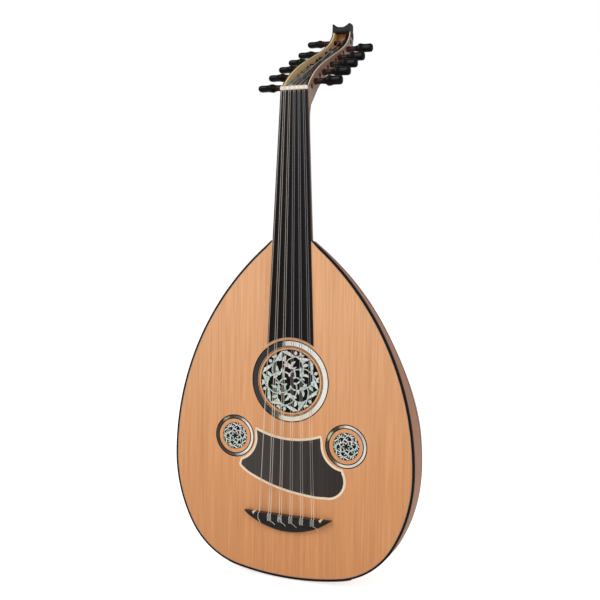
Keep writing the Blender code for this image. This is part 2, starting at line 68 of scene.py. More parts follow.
def centre(name):
    low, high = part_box(name)
    return (Vector(low) + Vector(high)) / 2


def size(name):
    low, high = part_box(name)
    return Vector(high) - Vector(low)


# Driving sizes, read from the frame where it holds them
BODY_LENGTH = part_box("rib_08")[1][2]
BOARD_THICKNESS = size("soundboard").y
BINDING_WIDTH = 2.2 * MM
TAIL_ARC = (400 * MM, 0.0, 11.0)          # radius, start and end of its turn in degrees
CORNER_ARC = (110 * MM, 11.0, 60.0)
SIDE_ARC = (202 * MM, 60.0, 90.0)
SHOULDER_RADIUS = 393 * MM
BOWL_PLANE = BOARD_THICKNESS + 0.3 * MM
RIB_COUNT = 15
BOWL_RISE = 17 * MM
RISE_GROWS = (14 * MM, 50 * MM)           # heights between which the bowl's extra depth
RISE_FADES = (345 * MM, 195 * MM)         # grows over the tail and fades to the neck
RIB_THICKNESS = 3 * MM

NUT_LOW, NUT_HIGH = (Vector(corner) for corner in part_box("nut"))
NUT_FRONT, NUT_BACK = NUT_LOW.z, NUT_HIGH.z
TAPER = 0.0442
HALF_WIDTH_AT_NUT = 19.4 * MM
BOARD_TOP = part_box("fingerboard")[0][1]
CHEEK_THICKNESS = 3 * MM
NECK_TOP = 3.1 * MM
PEGBOX_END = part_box("pegbox_cheek_bass")[1][2]
# Side view of the pegbox, its rim and its back, as (depth, height) in mm
RIM = [(14, 688), (31, 701), (60, 717.5), (100, 736), (138, 753), (167, 769), (182, 783)]
BACK = [(3.1, 644), (24, 664.5), (45.5, 684), (80.5, 706.5), (118, 722.5), (155, 738.5),
        (181, 754), (196, 771), (201, 785)]

BRIDGE_LOW, BRIDGE_HIGH = (Vector(corner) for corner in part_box("bridge"))
BRIDGE_FRONT = BRIDGE_HIGH.z
BRIDGE_HALF = 65 * MM
NOTCH_PLACE = BRIDGE_HALF - 15 * MM
BRIDGE_DEPTH = BRIDGE_HIGH.z - BRIDGE_LOW.z
BRIDGE_TOP = -9 * MM
TIE_BLOCK_DEPTH = 11.5 * MM

BIG_ROSE = size("rose_large").x / 2
SMALL_ROSE = size("rose_bass").x / 2
STAR_POINTS = 6
STAR_TURN = math.radians(38)
BIG_RING = (46.8 * MM, size("ring_large").x / 2)
SMALL_RING = (24.3 * MM, size("ring_bass").x / 2)

# Each string's x at the nut, x at the bridge and thickness in mm, from the bass side
STRINGS = [(-16.6, -40.3, 1.0), (-13.4, -26.0, 0.9), (-11.0, -22.8, 0.9), (-6.4, -10.0, 0.8),
           (-4.0, -6.8, 0.8), (0.4, 6.0, 0.7), (2.8, 9.2, 0.7), (7.2, 22.0, 0.7),
           (9.6, 25.2, 0.7), (14.2, 38.0, 0.65), (16.6, 41.2, 0.65)]
WOUND_STRINGS = 5
STRING_HEIGHT = 7.6 * MM
SHAFT_RADIUS = 3.4 * MM
# Turned pegs, in mm: distance out from the cheek and half breadth, and for the head also its
# flatness and squareness
PEG_SHANK = [(-0.3, 3.4), (0, 4.3), (0.4, 4.8), (1.1, 4.9), (1.7, 4.3), (2.2, 4.2), (2.8, 4.6),
             (3.4, 4.2), (6, 4.1), (11, 4.1), (13, 4.2), (14.2, 4.8), (15.2, 4.5)]
PEG_HEAD = [(15.2, 4.5, 1, 2), (16.7, 5.6, 0.95, 2.1), (18.4, 6.8, 0.84, 2.5),
            (20.2, 7.3, 0.76, 2.8), (22.4, 7.1, 0.72, 2.8), (25.5, 6.4, 0.72, 2.6),
            (29, 6.1, 0.74, 2.6), (33, 6.2, 0.74, 2.8), (36, 6.2, 0.72, 2.8),
            (38, 5.6, 0.7, 2.6), (39.4, 4.2, 0.62, 2.3), (40, 2.2, 0.5, 2.1)]


# ---------------------------------------------------------------- paths

def arc_chain(arcs, count):
    points = [Vector((0, 0))]
    for radius, start, end in arcs:
        x0, z0 = points[-1]
        begin = math.radians(start)
        for i in range(1, count + 1):
            turn = math.radians(start + (end - start) * i / count)
            points.append(Vector((x0 + radius * (math.sin(turn) - math.sin(begin)),
                                  z0 + radius * (math.cos(begin) - math.cos(turn)))))
    return points


def body_half(shoulder_count=40):
    """The treble half of the body's outline, from the tail to the neck."""
    path = arc_chain([TAIL_ARC, CORNER_ARC, SIDE_ARC], 16)
    widest, level = path[-1]
    for i in range(1, shoulder_count + 1):
        rise = (BODY_LENGTH - level) * i / shoulder_count
        inward = SHOULDER_RADIUS - math.sqrt(SHOULDER_RADIUS ** 2 - rise ** 2)
        path.append(Vector((widest - inward, level + rise)))
    return path


def offset_path(path, distance):
    """The path moved to its left."""
    moved = []
    for i, point in enumerate(path):
        along = (path[min(i + 1, len(path) - 1)] - path[max(i - 1, 0)]).normalized()
        moved.append(point + Vector((-along.y, along.x)) * distance)
    return moved


def inset_half(distance):
    path = offset_path(body_half(), distance)
    path[0].x = 0
    path[-1].y = BODY_LENGTH
    return path


def mirrored(path):
    return path + [Vector((-x, z)) for x, z in reversed(path) if x > 1e-6]


def around_body(distance):
    """From the treble side of the neck round the tail to the bass side."""
    half = inset_half(distance)
    return half[::-1] + [Vector((-x, z)) for x, z in half[1:]]


def arc(middle, radius, start, end, count):
    angles = [math.radians(start + (end - start) * i / count) for i in range(count + 1)]
    return [Vector((middle[0] + radius * math.cos(a), middle[1] + radius * math.sin(a)))
            for a in angles]


def circle(middle, radius, count=96):
    return arc(middle, radius, 0, 360, count)[:-1]


def smooth_path(points, steps=8):
    """A Catmull-Rom curve through the given points."""
    ends = [points[0].lerp(points[1], -1), *points, points[-1].lerp(points[-2], -1)]
    path = []
    for a, b, c, d in zip(ends, ends[1:], ends[2:], ends[3:]):
        for step in range(steps):
            t = step / steps
            path.append(0.5 * (2 * b + (c - a) * t + (2 * a - 5 * b + 4 * c - d) * t ** 2
                               + (3 * b - a - 3 * c + d) * t ** 3))
    path.append(points[-1])
    return path


def taper_half(z):
    """Half the width of the neck and the pegbox at a height."""
    return HALF_WIDTH_AT_NUT - TAPER * (z - NUT_FRONT)


# ---------------------------------------------------------------- materials

LOOKS = {"roughness": "Roughness", "metallic": "Metallic", "coat": "Coat Weight",
         "coat_roughness": "Coat Roughness", "gleam": "Specular IOR Level",
         "glow_colour": "Emission Color", "glow": "Emission Strength"}
WHITE = (1, 1, 1, 1)


def new_material(name):
    material = bpy.data.materials.new(name)
    material.use_nodes = True
    return material, material.node_tree


def set_inputs(made, values):
    """Link or set a node's inputs, by name or number."""
    for name, value in values.items():
        if isinstance(value, bpy.types.NodeSocket):
            made.id_data.links.new(value, made.inputs[name])
        else:
            made.inputs[name].default_value = value


def node(tree, kind, values=(), **settings):
    """Add a node: settings are its properties, values its inputs."""
    made = tree.nodes.new(kind)
    for name, value in settings.items():
        setattr(made, name, value)
    set_inputs(made, dict(values))
    return made


def rgb(red, green, blue):
    """A display colour, 0 to 255, as linear light."""
    channels = []
    for value in (red, green, blue):
        value /= 255
        channels.append(value / 12.92 if value <= 0.04045 else ((value + 0.055) / 1.055) ** 2.4)
    return (*channels, 1)


def ramp(tree, factor, stops):
    made = node(tree, "ShaderNodeValToRGB", {"Fac": factor})
    elements = made.color_ramp.elements
    while len(elements) < len(stops):
        elements.new(0.5)
    for element, (place, colour) in zip(elements, stops):
        element.position = place
        element.color = colour
    return made.outputs["Color"]


def dress(material, colour, height=None, bump=0.0, depth=0.1 * MM, **looks):
    """Give a material its colour, its bumps and the named looks, and return it."""
    tree = material.node_tree
    values = {LOOKS[name]: value for name, value in looks.items()}
    values["Base Color"] = colour
    if height is not None:
        lumps = node(tree, "ShaderNodeBump", {"Height": height, "Strength": bump,
                                              "Distance": depth})
        values["Normal"] = lumps.outputs["Normal"]
    set_inputs(tree.nodes["Principled BSDF"], values)
    return material


def maths(tree, operation, *values):
    return node(tree, "ShaderNodeMath", enumerate(values), operation=operation).outputs[0]


def map_range(tree, value, start=(0, 1), end=(0, 1)):
    made = node(tree, "ShaderNodeMapRange", {"Value": value, "From Min": start[0],
                                             "From Max": start[1], "To Min": end[0],
                                             "To Max": end[1]})
    return made.outputs["Result"]


def mix(tree, factor, first, second, blend="MIX"):
    return node(tree, "ShaderNodeMix", {0: factor, 6: first, 7: second}, data_type="RGBA",
                blend_type=blend).outputs[2]


def place_vector(tree, source="Object", stretch=(1, 1, 1), shift=(0, 0, 0)):
    place = node(tree, "ShaderNodeTexCoord").outputs[source]
    return node(tree, "ShaderNodeMapping", {"Vector": place, "Scale": stretch,
                                            "Location": shift}).outputs["Vector"]


def along_axis(tree, axis):
    split = node(tree, "ShaderNodeSeparateXYZ", {"Vector": place_vector(tree)})
    return split.outputs[axis]


def noise(tree, vector, scale, detail=2.0, **inputs):
    return node(tree, "ShaderNodeTexNoise", {"Vector": vector, "Scale": scale, "Detail": detail,
                                             **inputs}).outputs["Fac"]


def plate_tone(tree):
    """The random number that each inlaid copy carries."""
    return node(tree, "ShaderNodeAttribute", attribute_name="tone").outputs["Fac"]


def wood(name, pale, dark, stretch=(1, 1, 0.02), source="Object", lines=700, bands=60,
         roughness=0.4, coat=0.0, bump=0.15, contrast=1.0, gleam=0.5, shift=None):
    """Straight grained wood: fine lines and broad bands, both drawn out along the grain.

    shift is an axis, a span on it and colour stops, which multiply the wood's colour along that
    span."""
    material, tree = new_material(name)
    vector = place_vector(tree, source, stretch)
    fine = noise(tree, vector, lines, 4.0, Roughness=0.6)
    broad = noise(tree, vector, bands)
    half = 0.22 / contrast
    grain = ramp(tree, fine, [(0.5 - half, dark), (0.5 + half, pale)])
    shade = ramp(tree, broad, [(place, (*(share * c for c in pale[:3]), 1))
                               for place, share in ((0.3, 0.86), (0.7, 1.06))])
    colour = mix(tree, 0.5, grain, shade)
    if shift:
        axis, span, stops = shift
        slow = ramp(tree, map_range(tree, along_axis(tree, axis), span), stops)
        colour = mix(tree, 1.0, colour, slow, "MULTIPLY")
    gloss = map_range(tree, broad, end=(roughness - 0.05, roughness + 0.07))
    return dress(material, colour, fine, bump, 0.2 * MM, roughness=gloss, coat=coat,
                 coat_roughness=0.12, gleam=gleam)


def even(name, pale, dark, scale=300, roughness=0.35, bump=0.05, coat=0.0, gleam=0.5):
    """A near even finish with slight mottling and wear."""
    material, tree = new_material(name)
    mottle = noise(tree, place_vector(tree), scale, 5.0)
    gloss = map_range(tree, mottle, end=(roughness - 0.04, roughness + 0.06))
    return dress(material, ramp(tree, mottle, [(0.35, dark), (0.65, pale)]), mottle, bump,
                 roughness=gloss, coat=coat, gleam=gleam)


def nacre(name, stops):
    """Shell: pale colours that drift inside a plate and change from plate to plate."""
    material, tree = new_material(name)
    vector = place_vector(tree)
    clouds = noise(tree, vector, 160, 3.0, Distortion=1.2)
    tone_share = 0.6
    drift = maths(tree, "MULTIPLY", clouds, 1 - tone_share)
    pick = maths(tree, "MULTIPLY_ADD", plate_tone(tree), tone_share, drift)
    return dress(material, ramp(tree, pick, stops), noise(tree, vector, 900), 0.08,
                 roughness=0.18, coat=0.4)


def ring_shell_and_reflection(name, middle, stops):
    """Ring of shell plates with a painted reflection: the colour turns from dark on one side to
    pale on the other round the ring, over the shell's own cloudy tint and plate tones.
    """
    material, tree = new_material(name)
    centred = place_vector(tree, shift=(-middle[0], 0, -middle[1]))
    split = node(tree, "ShaderNodeSeparateXYZ", {"Vector": centred})
    turn = maths(tree, "ARCTAN2", split.outputs["Z"], split.outputs["X"])
    clouds = noise(tree, place_vector(tree), 160, 3.0, Distortion=1.0)
    share = maths(tree, "MULTIPLY_ADD", turn, 1 / (2 * math.pi), 1.0)
    share = maths(tree, "MULTIPLY_ADD", clouds, 0.05, share)
    share = maths(tree, "MULTIPLY_ADD", plate_tone(tree), 0.02, share)
    base = ramp(tree, maths(tree, "FRACT", share), stops)
    tint = ramp(tree, clouds, [(0.35, rgb(236, 246, 240)), (0.5, WHITE),
                               (0.65, rgb(250, 236, 232))])
    return dress(material, mix(tree, 0.3, base, tint, "MULTIPLY"), clouds, 0.1,
                 roughness=0.22, coat=0.3)


def along_string(tree, stops):
    """A colour that changes with the height up the instrument, as a share of its length."""
    return ramp(tree, map_range(tree, along_axis(tree, "Z"), (0.0, cad_box[1][2])), stops)


def wound_wire(name):
    """Silver wire wound on a silk core: fine turns show as bump along the string."""
    material, tree = new_material(name)
    turns = node(tree, "ShaderNodeTexWave", {"Vector": place_vector(tree), "Scale": 900.0},
                 bands_direction="Z").outputs["Fac"]
    colour = ramp(tree, turns, [(0.0, rgb(220, 208, 188)), (1.0, rgb(255, 248, 234))])
    # Painted shade along the string: darker over the pickguard, darker still from the rose up the
    # fingerboard and inside the pegbox, pale over the soundboard and the nut
    painted_shade = along_string(tree, [(0.0, WHITE), (0.14, WHITE), (0.16, rgb(220, 214, 212)),
                               (0.24, rgb(220, 214, 212)), (0.26, WHITE),
                               (0.30, rgb(240, 238, 236)), (0.42, rgb(186, 182, 184)),
                               (0.831, rgb(180, 176, 180)), (0.833, WHITE), (0.838, WHITE),
                               (0.85, rgb(196, 192, 190))])
    return dress(material, mix(tree, 1.0, colour, painted_shade, "MULTIPLY"), turns, 0.4,
                 metallic=0.2, roughness=0.35)


def nylon(name):
    """Clear nylon, painted with the tone of what lies under it: painted shade, darker over the
    pickguard, the fingerboard and inside the pegbox, pale over the soundboard and the nut.
    """
    material, tree = new_material(name)
    pale, dim, dark = rgb(250, 228, 200), rgb(150, 146, 144), rgb(134, 130, 134)
    colour = along_string(tree, [(0.0, pale), (0.145, pale), (0.16, dim), (0.24, dim),
                                 (0.25, pale), (0.27, pale), (0.30, dim), (0.42, dark),
                                 (0.831, dark), (0.833, pale), (0.838, pale),
                                 (0.845, rgb(160, 156, 156))])
    return dress(material, colour, roughness=0.3)


def peg_wood(name):
    """Black peg heads on shanks of a dark reddish brown."""
    material, tree = new_material(name)
    mottle = noise(tree, place_vector(tree), 260, 5.0)
    black = ramp(tree, mottle, [(0.35, rgb(7, 6, 6)), (0.65, rgb(15, 12, 11))])
    brown = ramp(tree, mottle, [(0.35, rgb(40, 22, 17)), (0.65, rgb(66, 38, 30))])
    out = maths(tree, "ABSOLUTE", along_axis(tree, "X"))
    share = map_range(tree, out, (25 * MM, 37 * MM))
    return dress(material, mix(tree, share, brown, black), mottle, 0.12, roughness=0.22,
                 gleam=0.13)


def make_finishes():
    return {
        "cedar": wood("cedar", rgb(250, 189, 137), rgb(206, 138, 90), lines=420, bands=40,
                      roughness=0.42, coat=0.15, bump=0.08, contrast=1.3,
                      # painted shade: the soundboard darker towards the tail and lighter towards
                      # the neck, as the light falls from above
                      shift=("Z", (0, BODY_LENGTH), [(0.0, rgb(236, 219, 193)),
                                                     (0.35, rgb(246, 232, 212)), (0.8, WHITE)])),
        "staves": wood("bowl_staves", rgb(200, 136, 97), rgb(150, 94, 65), (1, 0.02, 1), "UV",
                       lines=420, roughness=0.36, coat=0.12, gleam=0.3),
        "neck": wood("neck_wood", rgb(150, 100, 70), rgb(100, 62, 42), lines=420, roughness=0.3,
                     coat=0.4),
        "rosewood": wood("rosewood", rgb(178, 138, 120), rgb(112, 76, 64), (1, 0.05, 0.08),
                         lines=500, roughness=0.32, coat=0.4, contrast=1.3),
        "golden": wood("golden_wood", rgb(255, 228, 168), rgb(246, 190, 112), (1, 0.03, 0.06),
                       lines=900, roughness=0.35, coat=0.3, contrast=1.5),
        "amber": even("amber_wood", rgb(236, 156, 82), rgb(190, 112, 52), 120, 0.3, coat=0.3),
        "ebony": wood("ebony", rgb(22, 18, 17), rgb(10, 8, 8), lines=500, roughness=0.34,
                      bump=0.05, gleam=0.2),
        "bridge": wood("stained_bridge", rgb(40, 39, 38), rgb(20, 20, 21), (0.03, 1, 1),
                       lines=500, roughness=0.3, gleam=0.16),
        "peg": peg_wood("peg_ebony"),
        "finial": even("finial_ebony", rgb(17, 14, 13), rgb(8, 7, 7), 260, 0.22, bump=0.12,
                       gleam=0.14),
        "guard": wood("black_veneer", rgb(80, 75, 72), rgb(50, 46, 44), lines=260, bands=70,
                      roughness=0.5, bump=0.1, contrast=1.3, gleam=0.25,
                      shift=("X", (-75 * MM, 80 * MM), [(0.0, WHITE), (0.5, rgb(228, 224, 222)),
                                                        (1.0, rgb(186, 178, 174))])),
        "black": even("black_dyed_wood", rgb(20, 17, 16), rgb(9, 8, 8), 500, 0.4, gleam=0.12),
        "holly": even("holly_strip", rgb(255, 237, 208), rgb(252, 224, 190), 400, 0.45),
        "grey_wood": even("grey_wood", rgb(170, 152, 138), rgb(132, 112, 100), 500, 0.45),
        "brown": even("brown_strip", rgb(88, 58, 42), rgb(54, 36, 28), 500, 0.45),
        "tan": even("tan_strip", rgb(224, 170, 124), rgb(196, 140, 100), 500, 0.45),
        "bone": even("bone", rgb(255, 250, 238), rgb(248, 238, 220), 220, 0.3, coat=0.2),
        "spruce": wood("spruce", rgb(226, 190, 138), rgb(196, 156, 104), roughness=0.6),
        "abalone": nacre("abalone", [(0.10, rgb(150, 198, 188)), (0.20, rgb(238, 246, 238)),
                                     (0.38, rgb(255, 253, 243)), (0.46, rgb(176, 208, 214)),
                                     (0.54, rgb(252, 250, 240)), (0.66, rgb(186, 222, 208)),
                                     (0.74, rgb(255, 251, 242)), (0.90, rgb(232, 210, 206))]),
        "wound": wound_wire("wound_string"),
        "nylon": nylon("nylon_string"),
        "tie": even("tied_string", rgb(255, 253, 247), rgb(244, 238, 226), 300, 0.25),
    }


# ---------------------------------------------------------------- mesh tools

def add_object(name, data):
    made = bpy.data.objects.new(name, data)
    bpy.context.scene.collection.objects.link(made)
    return made


def keep(name, mesh, finish, body=BODY, replaces=None, smooth=40):
    """Make a mesh a finished piece that rides on a body."""
    piece = add_object(name, mesh)
    if not mesh.materials:
        mesh.materials.append(FINISH[finish])
    mesh.shade_smooth()
    mesh.set_sharp_from_angle(angle=math.radians(smooth))
    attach(piece, body)
    if replaces:
        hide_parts(replaces)
    return piece


def finished_mesh(name, work):
    """The mesh of a bmesh, its faces turned outward."""
    bmesh.ops.recalc_face_normals(work, faces=work.faces)
    mesh = bpy.data.meshes.new(name)
    work.to_mesh(mesh)
    work.free()
    return mesh


def loft(name, rings):
    """A capped surface through rings of points, with a UV map in metres: round, then along."""
    work = bmesh.new()
    layer = work.loops.layers.uv.new("UVMap")
    rows = [[work.verts.new(point) for point in ring] for ring in rings]
    count = len(rings[0])
    lengths = [0.0]
    for low, high in zip(rings, rings[1:]):
        lengths.append(lengths[-1] + (Vector(high[0]) - Vector(low[0])).length)
    middle = rings[len(rings) // 2]
    around = [0.0]
    for i in range(count):
        around.append(around[-1] + (Vector(middle[(i + 1) % count]) - Vector(middle[i])).length)
    for k in range(len(rows) - 1):
        for i in range(count):
            j = (i + 1) % count
            face = work.faces.new((rows[k][i], rows[k][j], rows[k + 1][j], rows[k + 1][i]))
            corners = ((around[i], lengths[k]), (around[i + 1], lengths[k]),
                       (around[i + 1], lengths[k + 1]), (around[i], lengths[k + 1]))
            for loop, corner in zip(face.loops, corners):
                loop[layer].uv = corner
    work.faces.new(rows[0])
    work.faces.new(rows[-1])
    bmesh.ops.remove_doubles(work, verts=work.verts, dist=0.000001)
    return finished_mesh(name, work)


def upright(place=(0, 0, 0)):
    """Takes a drawing in (x, y) with its front at +z to the soundboard's plane."""
    return Matrix.Translation(place) @ Matrix.Rotation(math.pi / 2, 4, "X")


def flat_mesh(name, outlines, low, high, edge=0.0, place=Matrix()):
    """A plate from outlines in (x, z), filling y from low to high, with rounded edges."""
    curve = bpy.data.curves.new(name, "CURVE")
    curve.dimensions = "2D"
    curve.fill_mode = "BOTH"
    curve.extrude = (high - low) / 2 - edge
    curve.bevel_depth = edge
    curve.bevel_resolution = 1
    curve.offset = -edge
    for outline in outlines:
        spline = curve.splines.new("POLY")
        spline.points.add(len(outline) - 1)
        for point, (x, z) in zip(spline.points, outline):
            point.co = (x, z, 0, 1)
        spline.use_cyclic_u = True
    work = bmesh.new()
    work.from_mesh(evaluated_mesh(add_object(name + "_outline", curve)))
    bmesh.ops.remove_doubles(work, verts=work.verts, dist=0.000005)
    work.transform(place @ upright((0, (low + high) / 2, 0)))
    return finished_mesh(name, work)


def evaluated_mesh(guide):
    """The plain mesh of an object and its modifiers, after which the object is removed."""
    bpy.context.view_layer.update()
    graph = bpy.context.evaluated_depsgraph_get()
    mesh = bpy.data.meshes.new_from_object(guide.evaluated_get(graph))
    bpy.data.objects.remove(guide)
    return mesh


def joined(name, meshes):
    """One mesh of several, with their materials."""
    parts = [add_object(name, mesh) for mesh in meshes]
    for item in bpy.context.selected_objects:
        item.select_set(False)
    for part in parts:
        part.select_set(True)
    bpy.context.view_layer.objects.active = parts[0]
    if len(parts) > 1:
        bpy.ops.object.join()
    mesh = parts[0].data
    bpy.data.objects.remove(parts[0])
    mesh.name = name
    return mesh


# ---------------------------------------------------------------- node trees

def new_tree(name, sockets):
    """A geometry tree with a geometry input and output, the named inputs and a material."""
    tree = bpy.data.node_groups.new(name, "GeometryNodeTree")
    for way in ("OUTPUT", "INPUT"):
        tree.interface.new_socket("Geometry", in_out=way, socket_type="NodeSocketGeometry")
    for label, value in sockets.items():
        kind = "NodeSocketInt" if isinstance(value, int) else "NodeSocketFloat"
        tree.interface.new_socket(label, in_out="INPUT", socket_type=kind).default_value = value
    tree.interface.new_socket("Material", in_out="INPUT", socket_type="NodeSocketMaterial")
    return tree, tree.nodes.new("NodeGroupInput").outputs


def end_tree(tree, made, start):
    """Realize Instances, then Set Material, then the output."""
    for kind, more in (("GeometryNodeRealizeInstances", {}),
                       ("GeometryNodeSetMaterial", {"Material": start["Material"]})):
        made = node(tree, kind, {"Geometry": made.outputs[0], **more})
    node(tree, "NodeGroupOutput", {0: made.outputs[0]})
    return tree


def swept(tree, path, section):
    return node(tree, "GeometryNodeCurveToMesh", {
        "Curve": path.outputs[0], "Profile Curve": section.outputs[0], "Fill Caps": True})


def swept_round(tree, path, radius, sides):
    """A smooth round section swept along a path."""
    section = node(tree, "GeometryNodeCurvePrimitiveCircle", {"Radius": radius,
                                                              "Resolution": sides})
    made = swept(tree, path, section)
    return node(tree, "GeometryNodeSetShadeSmooth", {"Geometry": made.outputs[0]})


def strip_tree():
    """Sweeps a flat strip along a line drawn in the (x, z) plane of the soundboard."""
    tree, start = new_tree("inlaid_strip", {"Width": 1 * MM, "Thickness": 0.5 * MM})
    line = node(tree, "GeometryNodeMeshToCurve", {"Mesh": start["Geometry"]})
    level = node(tree, "GeometryNodeSetCurveNormal", {"Curve": line.outputs[0]}, mode="Z_UP")
    section = node(tree, "GeometryNodeCurvePrimitiveQuadrilateral",
                   {"Width": start["Width"], "Height": start["Thickness"]})
    return end_tree(tree, swept(tree, level, section), start)


def wire_tree():
    """A round wire along a line."""
    tree, start = new_tree("round_wire", {"Radius": 0.5 * MM, "Sides": 10})
    line = node(tree, "GeometryNodeMeshToCurve", {"Mesh": start["Geometry"]})
    return end_tree(tree, swept_round(tree, line, start["Radius"], start["Sides"]), start)


def coil_tree():
    """Turns of string round a shaft along X, centred on the origin."""
    tree, start = new_tree("string_turns", {"Turns": 4.0, "Coil Radius": 4 * MM,
                                            "Length": 4 * MM, "Wire Radius": 0.4 * MM})
    spiral = node(tree, "GeometryNodeCurveSpiral", {
        "Resolution": 24, "Rotations": start["Turns"], "Height": start["Length"],
        "Start Radius": start["Coil Radius"], "End Radius": start["Coil Radius"]})
    return end_tree(tree, swept_round(tree, spiral, start["Wire Radius"], 8), start)


def ring_of_copies_tree():
    """Copies of the input turned about its origin's Z axis, each with its own tone."""
    tree, start = new_tree("ring_of_copies", {"Count": 6, "Start": 0.0, "Step": 1.0, "Seed": 3})
    points = node(tree, "GeometryNodePoints", {"Count": start["Count"], "Radius": MM})
    index = node(tree, "GeometryNodeInputIndex").outputs[0]
    about = node(tree, "ShaderNodeCombineXYZ", {
        "Z": maths(tree, "MULTIPLY_ADD", index, start["Step"], start["Start"])})
    placed = node(tree, "GeometryNodeInstanceOnPoints", {
        "Points": points.outputs[0], "Instance": start["Geometry"], "Rotation": about.outputs[0]})
    chance = node(tree, "FunctionNodeRandomValue", {"Seed": start["Seed"]}, data_type="FLOAT")
    toned = node(tree, "GeometryNodeStoreNamedAttribute", {
        "Geometry": placed.outputs[0], "Name": "tone", "Value": chance.outputs[1]},
        data_type="FLOAT", domain="INSTANCE")
    return end_tree(tree, toned, start)


def grow(name, mesh, tree, finish, **values):
    """Runs a node tree on a mesh with named inputs and returns the plain mesh."""
    values["material"] = FINISH[finish]
    guide = add_object(name, mesh)
    modifier = guide.modifiers.new(name, "NODES")
    modifier.node_group = TREES[tree]
    for socket in TREES[tree].interface.items_tree:
        label = socket.name.lower().replace(" ", "_")
        if socket.in_out == "INPUT" and label in values:
            modifier[socket.identifier] = values[label]
    return evaluated_mesh(guide)


def line_mesh(name, points, closed=False):
    """Edges through points."""
    mesh = bpy.data.meshes.new(name)
    count = len(points)
    edges = [(i, (i + 1) % count) for i in range(count if closed else count - 1)]
    mesh.from_pydata([tuple(point) for point in points], edges, [])
    return mesh


def strip(name, path, width, low, high, finish, closed=False):
    """An inlaid strip along a path in (x, z), from depth low to high."""
    line = line_mesh(name, [(x, z, 0) for x, z in path], closed)
    mesh = grow(name, line, "strip", finish, width=width, thickness=high - low)
    mesh.transform(upright((0, (low + high) / 2, 0)))
    return mesh


def wire(name, points, radius, finish, sides=10):
    return grow(name, line_mesh(name, points), "wire", finish, radius=radius, sides=sides)


def plate(name, outlines, thickness):
    """A plate drawn in (x, y), from z 0 to its thickness."""
    mesh = flat_mesh(name, outlines, 0, thickness)
    mesh.transform(Matrix.Translation((0, 0, thickness)) @ Matrix.Rotation(-math.pi / 2, 4, "X"))
    return mesh


def painted(mesh, finish):
    mesh.materials.clear()
    mesh.materials.append(FINISH[finish])
    return mesh


# ---------------------------------------------------------------- soundboard

BIG_HOLE = centre("rose_large").xz
SMALL_HOLES = {"bass": centre("rose_bass").xz, "treble": centre("rose_treble").xz}


def build_board():
    gap = 0.1 * MM
    inner = mirrored(inset_half(BINDING_WIDTH + gap / 2))
    holes = [circle(BIG_HOLE, BIG_ROSE + gap, 128)]
    holes += [circle(hole, SMALL_ROSE + gap) for hole in SMALL_HOLES.values()]
    mesh = flat_mesh("soundboard", [inner, *holes], 0, BOARD_THICKNESS)
    keep("soundboard_top", mesh, "cedar", replaces="soundboard")

    edge = strip("binding", around_body(BINDING_WIDTH / 2), BINDING_WIDTH, -0.1 * MM,
                 BOARD_THICKNESS + 0.1 * MM, "black")
    keep("edge_binding_strip", edge, "black", replaces="edge_binding")
    lines = [("black_line", BINDING_WIDTH + 0.15 * MM, 0.5 * MM, "black"),
             ("pale_line", BINDING_WIDTH + 0.75 * MM, 0.7 * MM, "grey_wood")]
    for name, distance, width, finish in lines:
        mesh = strip(name, around_body(distance), width, -0.16 * MM, 0.6 * MM, finish)
        keep(f"purfling_{name}", mesh, finish)


def ring_sector(name, radii, share, gap, thickness):
    """One shell plate of a ring about the origin, spanning share of a full turn."""
    half = share * 180
    inset = math.degrees(gap / 2 / radii[1])
    outer = arc((0, 0), radii[1], -half + inset, half - inset, 6)
    inner = arc((0, 0), radii[0], half - inset, -half + inset, 6)
    return plate(name, [outer + inner], thickness)


def disc(name, hole, depth, thickness, finish, *radii):
    """A disc or a flat ring round a hole, its front at a depth, kept as a piece."""
    count = 128 if len(radii) > 1 else 96
    mesh = plate(name, [circle((0, 0), radius, count) for radius in radii], thickness)
    mesh.transform(upright((hole.x, depth, hole.y)))
    keep(name, mesh, finish)


def build_ring(name, hole, radii, plates, stops):
    FINISH[name] = ring_shell_and_reflection(name + "_colours", hole, stops)
    inner, outer = radii
    wide = plates > 20
    shell_radii = (inner + (2.2 if wide else 1.0) * MM, outer - (0.6 if wide else 0.9) * MM)
    sector = ring_sector(name, shell_radii, 1 / plates, 0.1 * MM, 0.7 * MM)
    mesh = grow(name, sector, "copies", name, count=plates, start=0.0,
                step=2 * math.pi / plates, seed=4)
    mesh.transform(upright((hole.x, 0.56 * MM, hole.y)))
    keep(name + "_shell", mesh, name, replaces=name)
    disc(name + "_outlines", hole, 0.52 * MM, 0.6 * MM, "black",
         outer + (0.8 if wide else 0.5) * MM, inner - 0.3 * MM)
    if wide:
        disc(name + "_inner_line", hole, 0.5 * MM, 0.6 * MM, "tan", inner + 1.4 * MM,
             inner + 0.5 * MM)


def leaf(length, width, lean, cusps, count=14):
    """A pointed leaf along +x from the origin, leaning to one side, with cusped edges."""
    upper, lower = [], []
    for i in range(count + 1):
        t = i / count
        breadth = width / 2 * math.sin(math.pi * t) ** 0.8
        if cusps:
            breadth *= 0.55 + 0.6 * abs(math.sin(cusps * math.pi * t))
        spine = Vector((length * t, lean * length * math.sin(math.pi * t)))
        upper.append(spine + Vector((0, breadth)))
        lower.append(spine - Vector((0, breadth)))
    return upper + lower[-2:0:-1]


def turned(radius, angle):
    a = math.radians(angle)
    return Vector((radius * math.cos(a), radius * math.sin(a)))


def vine(name, steps, radius, line):
    """A thin line through (share of the radius, angle) steps."""
    path = smooth_path([turned(r * radius, a) for r, a in steps], 6)
    edge = line * radius / 2
    return plate(name, [offset_path(path, edge) + offset_path(path, -edge)[::-1]], 0.9 * MM)


def leaf_between(start, end, width, radius, lean, cusps):
    """A leaf from one (share, angle) to another."""
    root = turned(*start)
    along = turned(*end) - root
    turn = Matrix.Rotation(math.atan2(along.y, along.x), 2)
    return [(root + turn @ point) * radius for point in leaf(along.length, width, lean, cusps)]


